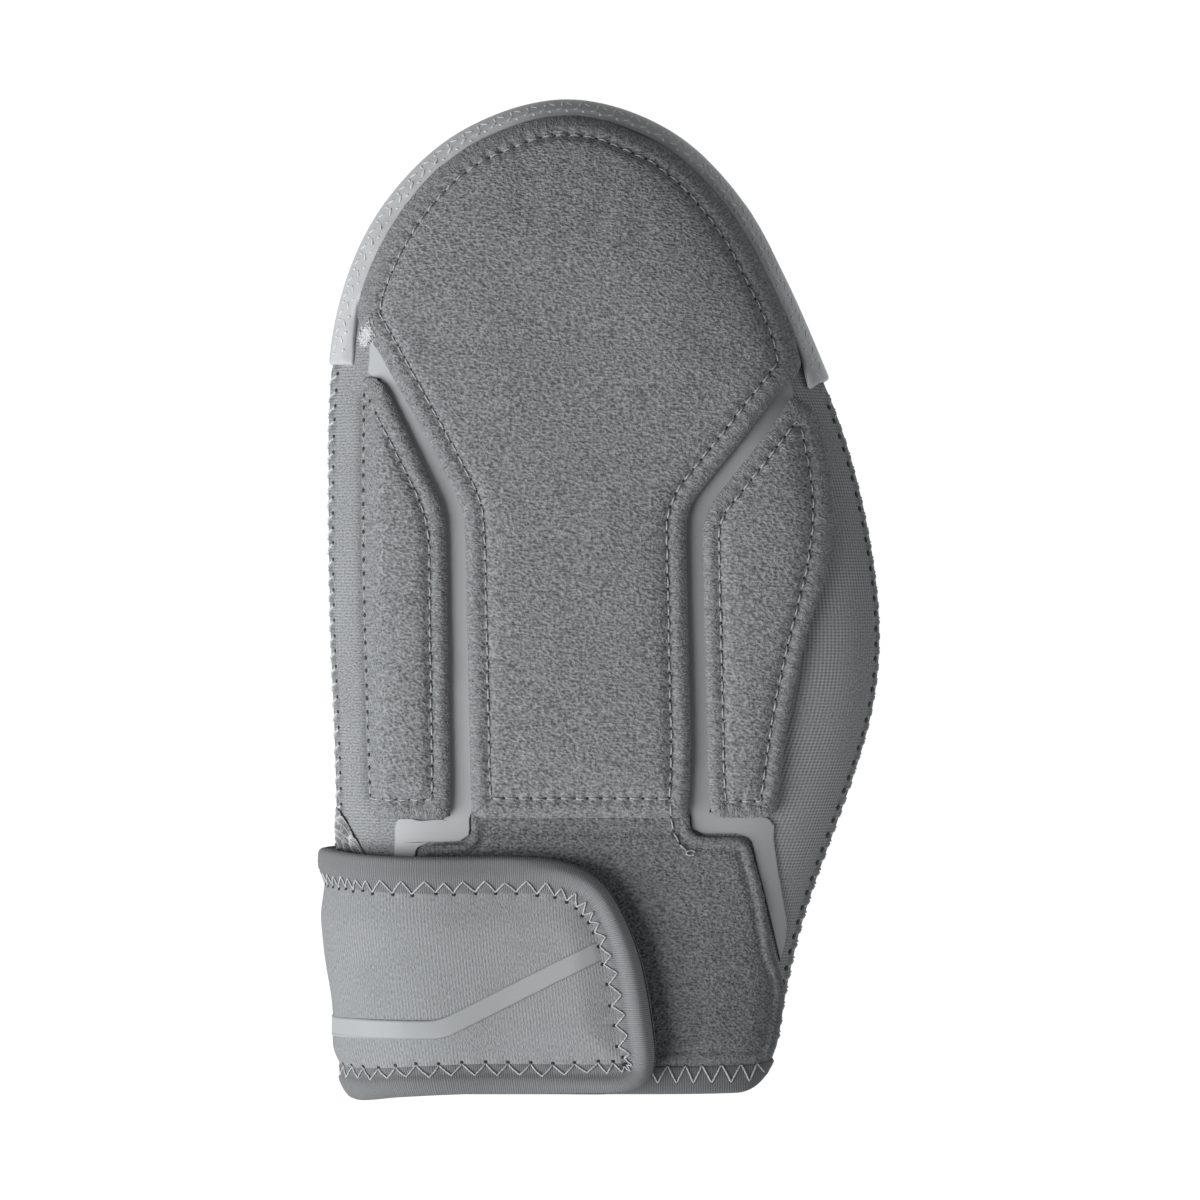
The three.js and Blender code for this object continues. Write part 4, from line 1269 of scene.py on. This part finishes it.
# Painted shade: the strap's knit is darkened on its left part, where the key light falls strongest.
paint(wrist_strap, "gaps_and_painted_shade", 0.13 * smooth_step(40, 8, flat[:, 0]))
hand_over(wrist_strap, strap_jersey, "knit", "wrist_strap")

# %% Binding
LEFT_SHADE = 0.2
strap_binding = copy_of("strap_binding", "strap_binding_tape")
soften(strap_binding, 3)
points, normals = points_of(strap_binding), normals_of(strap_binding)
flat, outs, above = strap_places(points)
inset, along = measured_from(strap_edge, flat)
sink = 0.85 * smooth_step(4.6, 6.4, inset) + puckers(flat)
flatter = smooth_step(76, 56, flat[:, 0])
top_row = flatter * smooth_step(-84, -76, flat[:, 1])
bead = 0.7 * np.sin(math.pi * np.clip(inset / 5.6, 0, 1)) * (1 - 0.6 * flatter)
bead -= (1.3 - 1.0 * flatter - 0.8 * top_row) * (1 - smooth_step(0, 3.2 - 0.8 * flatter, inset))
points += normals * 0.25 + outs * ((bead - sink) * (above > 0.9))[:, None]
points[:, 1] += 0.6 * top_row * (1 - smooth_step(0.2, 2.2, inset)) * (above > 0.5)
move_points(strap_binding, strap_set(points))
paint(strap_binding, "along", along)
# Painted shade: the tape is darkened towards its left end, against the light from the left.
paint(strap_binding, "painted_left_shade", LEFT_SHADE * smooth_step(15, -40, points[:, 0]))
hand_over(strap_binding, binding_tape, "binding", "strap_binding")

# %% Stripe
STRIPE_CUT = [(-6, -106.4, 0), (38.3, -106.7, 3), (77.4, -87.8, 0), (80.2, -91.6, 0)]
STRIPE_CUT += [(39.3, -111.4, 3), (-6, -111.4, 0)]
STRIPE_SHIFT = 1.2
STRIPE_DRAWN = 4.2 * np.array([0.9, 0.435])  # along its slope, at the upper end
STRIPE_TOP = 0.5
stripe = copy_of("strap_stripe", "strap_film_stripe")
apply(stripe, "SUBSURF", levels=3, render_levels=3, subdivision_type="SIMPLE")
points = points_of(stripe)
flat, outs, _ = strap_places(points)
inset, _ = measured_from(closed(STRIPE_CUT), flat)
flat[:, 1] += STRIPE_SHIFT
flat += smooth_step(56, 78, flat[:, 0])[:, None] * STRIPE_DRAWN
strap_inset, _ = measured_from(strap_edge, flat)
facing = np.zeros(len(points))
for face in stripe.data.polygons:
    for i in face.vertices:
        facing[i] = max(facing[i], face.normal @ Vector(outs[i]))
thick = np.where(facing > 0.6, STRIPE_TOP, SEATED)
by_tape = smooth_step(11.5, 9, strap_inset)
rise = STRAP_THICKNESS + strap_swell(strap_inset) + 0.2 + thick - 0.5 * by_tape
points = np.array([on_wrist(w, y, h) for (w, y), h in zip(flat, rise)])
move_points(stripe, strap_set(points))
paint(stripe, "inset", inset)
hand_over(stripe, stripe_film, "film", "strap_stripe")

# %% [markdown]
# ## Hems
# The wrist edges of both panels are bound in tape like the strap's, in a darker grey. The tape is only
# softened and follows the rounded corner of the panels.


# %% Hems
def hem(node, name):
    piece = copy_of(node, name)
    soften(piece, 3)
    points, normals = points_of(piece), normals_of(piece)
    points += normals * 0.15
    round_wrist_corner(points)
    move_points(piece, points)
    paint(piece, "along", points[:, 0])
    hand_over(piece, hem_tape, "binding", node)
    return piece


back_hem = hem("back_hem", "back_hem_tape")
hem("palm_hem", "palm_hem_tape")

# %% [markdown]
# ## Sewing
# Lockstitch runs round the pads: each stitch is a short thread that rises out of one needle hole and dives
# into the next. The centre pad's row runs on to the wrist patch and ends there in a knot. Zigzag holds the
# tape on the strap and the hem. Overlock wraps the side seam, each loop going from a hole on the back over
# the edge to the palm.

# %% Lockstitch round the pads
random.seed(7)
LOCK_ARC = ((0.0, -0.3), (0.14, 0.12), (0.5, 0.32), (0.86, 0.12), (1.0, -0.3))  # share of a stitch, lift
KNIT_SINK, KNIT_HOLES = 0.3, 1.5  # on the knit the thread lies deeper and the holes are larger
KNOT_PLACE, KNOT_SIZE = (22.8, -63.6), (1.1, 0.6)
LOCK_THREAD, ZIG_THREAD, OVERLOCK_THREAD = 0.21, 0.22, 0.34  # radius of each thread
lock_runs, hole_places = [], []


def lockstitch(surface, line):
    length = (len(line) - 1) * LINE_STEP
    count = round(length / LOCK_PITCH)
    for k in range(count):
        run = (k + 0.2) * length / count + random.uniform(-0.2, 0.2)
        off = random.uniform(-0.1, 0.1)
        in_knit = line_frame(line, run)[0][0] < -57
        stitch = []
        for share, lift in LOCK_ARC:
            place, direction = line_frame(line, run + share * LOCK_LENGTH)
            touch, normal = drop(surface, *(place + off * np.array([-direction[1], direction[0]])))
            stitch.append(touch + normal * (lift - KNIT_SINK * in_knit))
        lock_runs.append(stitch)
        place, direction = line_frame(line, run + (LOCK_PITCH + LOCK_LENGTH) / 2)
        touch, normal = drop(surface, *place)
        hole_places.append((touch, frame_on(normal, (*direction, 0)) * (KNIT_HOLES if in_knit else 1.0)))


lockstitch(surface_of(centre_pad), centre_stitches)
lockstitch(surface_of(outer_pad), outer_stitches)
lockstitch(surface_of(thumb_pad), thumb_stitches)
RUN_ON = [(17.8, -51.0), (17.8, -54.8), (18.6, -58.6), (20.3, -61.7), (22.1, -63.4)]
by_patch = surface_of(centre_pad, patch)
lockstitch(by_patch, even_line(RUN_ON))
knot = []
for turn in np.linspace(0.3, 5.6, 14):
    x = KNOT_PLACE[0] + KNOT_SIZE[0] * math.cos(turn)
    y = KNOT_PLACE[1] + KNOT_SIZE[1] * math.sin(turn)
    touch, normal = drop(by_patch, x, y)
    knot.append(touch + normal * 0.3)
lock_runs.append(knot)
sewn("pad_lockstitch", lock_runs, LOCK_THREAD, nap_thread, "loop")
print(f"lockstitch: {len(lock_runs)} stitches")

# %% Zigzag on the strap and the hem
ZIG_ARC = ((0.0, 0.06), (0.1, 0.14), (0.3, 0.18), (0.5, 0.2), (0.7, 0.18), (0.9, 0.14))
HEM_UPPER, HEM_LOWER, HEM_STEP = -117.4, -121.8, 2.25
zig_surface = surface_of(wrist_strap, strap_binding, stripe)


def on_strap(w, y, lift):
    start, foot = (Vector(p) for p in strap_set([on_wrist(w, y, STRAP_THICKNESS + 6), on_wrist(w, y, 0)]))
    touch, normal, _, _ = zig_surface.ray_cast(start, (foot - start).normalized())
    if touch is None:
        return lay(zig_surface, start, lift)
    return touch + normal * lift, normal


def thread_over(corners, touch_at):
    """One thread from corner to corner, bowed a little sideways in each stitch."""
    line = []
    for a, b in zip(corners, corners[1:]):
        bow = random.uniform(-0.06, 0.14) * np.array([-(b - a)[1], (b - a)[0]]) / np.linalg.norm(b - a)
        for share, lift in ZIG_ARC:
            place = a * (1 - share) + b * share + bow * 4 * share * (1 - share)
            line.append(touch_at(*place, lift))
    return line


zig_run = thread_over(zig_corners, lambda w, y, lift: on_strap(w, y, lift)[0])
for w, y in zig_inner:
    _, run = measured_from(strap_edge, [(w, y)])
    direction = line_frame(strap_edge, run[0])[1]
    touch, normal = on_strap(w + 0.45 * direction[1], y - 0.45 * direction[0], 0.02)
    hole_places.append((touch, frame_on(normal, (1, 0, 0)) * 1.3))
hem_surface = surface_of(back_hem, back_panel, patch)
hem_corners = []
x, side = -30.0, 0
while x < 43.0:
    edge_rise = 2.4 * smooth_step(37, 44, x)
    hem_corners.append(np.array((x, HEM_UPPER if side else HEM_LOWER + edge_rise)))
    side = 1 - side
    x += HEM_STEP * random.uniform(0.88, 1.12)


def on_hem(x, y, lift):
    touch, normal = drop(hem_surface, x, y)
    return touch + normal * lift


hem_run = thread_over(hem_corners, on_hem)
for x, y in hem_corners:
    touch, normal = drop(hem_surface, x, y)
    hole_places.append((touch, frame_on(normal, (1, 0, 0))))
sewn("binding_zigzag", [zig_run, hem_run], ZIG_THREAD, pale_thread, "binding")

# %% Overlock round the side seam
random.seed(5)
SECTION_DEPTH = 6.0  # the loops are aimed at a line this far inside the seam
LOOP_ANGLES = (44, 36, 24, 12, 4, -4, -12, -24, -36, -46)  # from the back over the edge to the palm
HOLE_ANGLE, HOLE_SIZE, RIGHT_HOLES = 46, np.array([1.3, 1.7, 1.4]), 1.6
over_runs = []
seam_surface = surface_of(back_panel, palm_panel)
stretches = [
    (seam_run(left_side, -61), seam_run(left_side, 62.5)),
    (seam_run(right_side, 53), seam_run(right_side, -117)),
]


def round_seam(run, angle):
    """Where a stitch aimed at the seam's inside, at that angle, meets the cloth."""
    place, direction = line_frame(side_seam, run)
    outward = np.array([-direction[1], direction[0]])
    turn = math.radians(angle)
    aim = Vector((*(outward * math.cos(turn)), math.sin(turn)))
    middle = Vector((*(place - outward * SECTION_DEPTH), SEAM_HEIGHT))
    touch, normal, _, away = seam_surface.ray_cast(middle + aim * 30, -aim)
    if touch is None or away > 30:
        touch, normal, _, _ = seam_surface.find_nearest(middle + aim * SECTION_DEPTH)
    return touch, normal, direction


for start, stop in stretches:
    for k in range(math.ceil(start / SEAM_PITCH), int(stop / SEAM_PITCH)):
        run = k * SEAM_PITCH + random.uniform(-0.2, 0.2)
        loop = []
        for j, angle in enumerate(LOOP_ANGLES):
            share = j / (len(LOOP_ANGLES) - 1)
            touch, normal, _ = round_seam(run + 0.7 - 2.4 * min(share / 0.45, 1), angle)
            sunk = 0.4 if share in (0, 1) else 0.25 if abs(angle) < 10 else -0.08
            sunk += 0.12 * (touch.x > 0 and touch.y > -45)
            loop.append(touch - normal * sunk)
        touch, normal, direction = round_seam(run + 1.0, HOLE_ANGLE)
        size = HOLE_SIZE * (RIGHT_HOLES if touch.x > 0 else 1.0)
        hole_places.append((touch, frame_on(normal, (*direction, 0)) * size))
        over_runs.append(loop)
sewn("seam_overlock", over_runs, OVERLOCK_THREAD, seam_thread, "knit")
scattered("needle_holes", needle_hole, hole_places, needle_shadow, "knit")
bpy.data.objects.remove(needle_hole)
print(f"needle holes: {len(hole_places)}")

# %% [markdown]
# ### Loose corners
# Where the strap leaves the side seam, a slip of seam film shows, crumpled into sharp folds: a grid laid on
# the roll of the back, creased with ridged noise and thickened. At the guard's left end the cut nap of the
# pad is frayed, so a few pale tufts lie there.

# %% Seam slip
SLIP_LIFT, SLIP_THICKNESS, FOLD_HEIGHT = 0.35, 0.3, 0.6
SLIP_TOP, SLIP_FOOT = ((-66.7, -52.6), (-64.7, -55.2)), ((-67.3, -65.6), (-58.5, -65.6))
bpy.ops.object.select_all(action="DESELECT")
bpy.ops.mesh.primitive_grid_add(x_subdivisions=44, y_subdivisions=66, size=2 * MM)
slip = bpy.context.object
slip.name = "seam_slip"
points = points_of(slip)
folds = np.zeros(len(points))
for k, (u, v, _) in enumerate((points + 1) / 2):
    top = np.array(SLIP_TOP[0]) * (1 - u) + np.array(SLIP_TOP[1]) * u
    foot = np.array(SLIP_FOOT[0]) * (1 - u) + np.array(SLIP_FOOT[1]) * u
    x, y = top * v + foot * (1 - v)
    wide = (1 - abs(noise.noise(Vector((x * 0.5 + y * 0.25, y * 0.3 + 2, 0))))) ** 10
    fine = (1 - abs(noise.noise(Vector((x * 1.1 - y * 0.4, y * 0.6 + x * 0.3, 5))))) ** 12
    folds[k] = max(wide, 0.7 * fine)
    touch, normal = drop(back_surface, x, y)
    if touch is None:
        touch, normal = lay(back_surface, (x, y, SEAM_HEIGHT + 1), 0)
    points[k] = touch + normal * (SLIP_LIFT + FOLD_HEIGHT * folds[k])
move_points(slip, points)
paint(slip, "fold", folds)
apply(slip, "SOLIDIFY", thickness=SLIP_THICKNESS * MM, offset=-1)
# The folds are painted lighter on their ridges and dark between them: a painted highlight and painted shade.
creased = Finish("creased_film", roughness=0.4, specular=0.4)
slip_film = creased.done(creased.colour(creased.measure("fold"), tone(82), tone(176)))
hand_over(slip, slip_film, "film")

# %% Frayed nap
random.seed(17)
FRAY_SIZES = ((0.4, 0.8), (0.12, 0.2), (0.1, 0.18))
FRAY_COUNT, FRAY_PLACE = 380, (-59.1, 66.8)
frayed_nap = sewing_thread("frayed_nap", dark=164, light=200)
fray_ground = surface_of(back_panel, finger_guard, centre_pad)
placings = []
for _ in range(FRAY_COUNT):
    y = random.gauss(FRAY_PLACE[1], 1.1)
    x = FRAY_PLACE[0] + 0.19 * (y - FRAY_PLACE[1]) + random.gauss(0, 0.75)
    touch, normal = drop(fray_ground, x, y)
    aim = (random.gauss(0, 1), random.gauss(0, 1), 0.4)
    placings.append((touch + normal * 0.15, frame_on(normal, aim) * drawn_size(FRAY_SIZES)))
scattered("frayed_corner", tuft_shape, placings, frayed_nap, "loop")
bpy.data.objects.remove(tuft_shape)

# %% [markdown]
# ## Stage, light and camera
# The portrait is taken straight down on a white sweep, which shines by itself to stay white and is kept from
# lighting the mitt. One soft light stands to the left and a little towards the wrist, so the left flanks are
# bright and the fingertips and right flanks fall off. A weak light from the right and a pale surround fill
# the rest. The lens is long, which keeps the outline nearly free of perspective.

# %% Floor, lights and camera
SWEEP_LOOK = {
    "Base Color": (0.08, 0.08, 0.08, 1), "Roughness": 0.9, "Specular IOR Level": 0.0,
    "Emission Color": (1, 1, 1, 1), "Emission Strength": 1.0,
}
SURROUND = 0.18
CAMERA_HEIGHT, LENS, SENSOR = 1.287, 150, 36
bpy.ops.object.select_all(action="DESELECT")
bpy.ops.mesh.primitive_plane_add(size=6, location=(0, 0, -0.0004))
floor = bpy.context.object
floor.name = "white_sweep"
sweep = bpy.data.materials.new("white_sweep")
sweep.use_nodes = True
sweep_shader = sweep.node_tree.nodes["Principled BSDF"]
for setting, value in SWEEP_LOOK.items():
    sweep_shader.inputs[setting].default_value = value
floor.data.materials.append(sweep)
floor.visible_diffuse = False

world = bpy.data.worlds.new("pale_surround")
world.use_nodes = True
world.node_tree.nodes["Background"].inputs["Color"].default_value = (1, 1, 1, 1)
world.node_tree.nodes["Background"].inputs["Strength"].default_value = SURROUND
bpy.context.scene.world = world


def soft_light(name, place, size, watts):
    bpy.ops.object.light_add(type="AREA", location=place)
    light = bpy.context.object
    light.name = name
    light.data.size = size
    light.data.energy = watts
    light.rotation_mode = "QUATERNION"
    light.rotation_quaternion = (Vector((0, 0, 0.02)) - Vector(place)).to_track_quat("-Z", "Y")


soft_light("key_left", place=(-1.12, -0.47, 0.84), size=1.2, watts=37)
soft_light("fill_right", place=(1.15, -0.45, 0.4), size=0.8, watts=4)
bpy.ops.object.camera_add(location=(0, 0, CAMERA_HEIGHT))
camera = bpy.context.object
camera.name = "overhead_camera"
camera.data.lens = LENS
camera.data.sensor_width = SENSOR
bpy.context.scene.camera = camera
bpy.context.scene.view_settings.view_transform = "Standard"
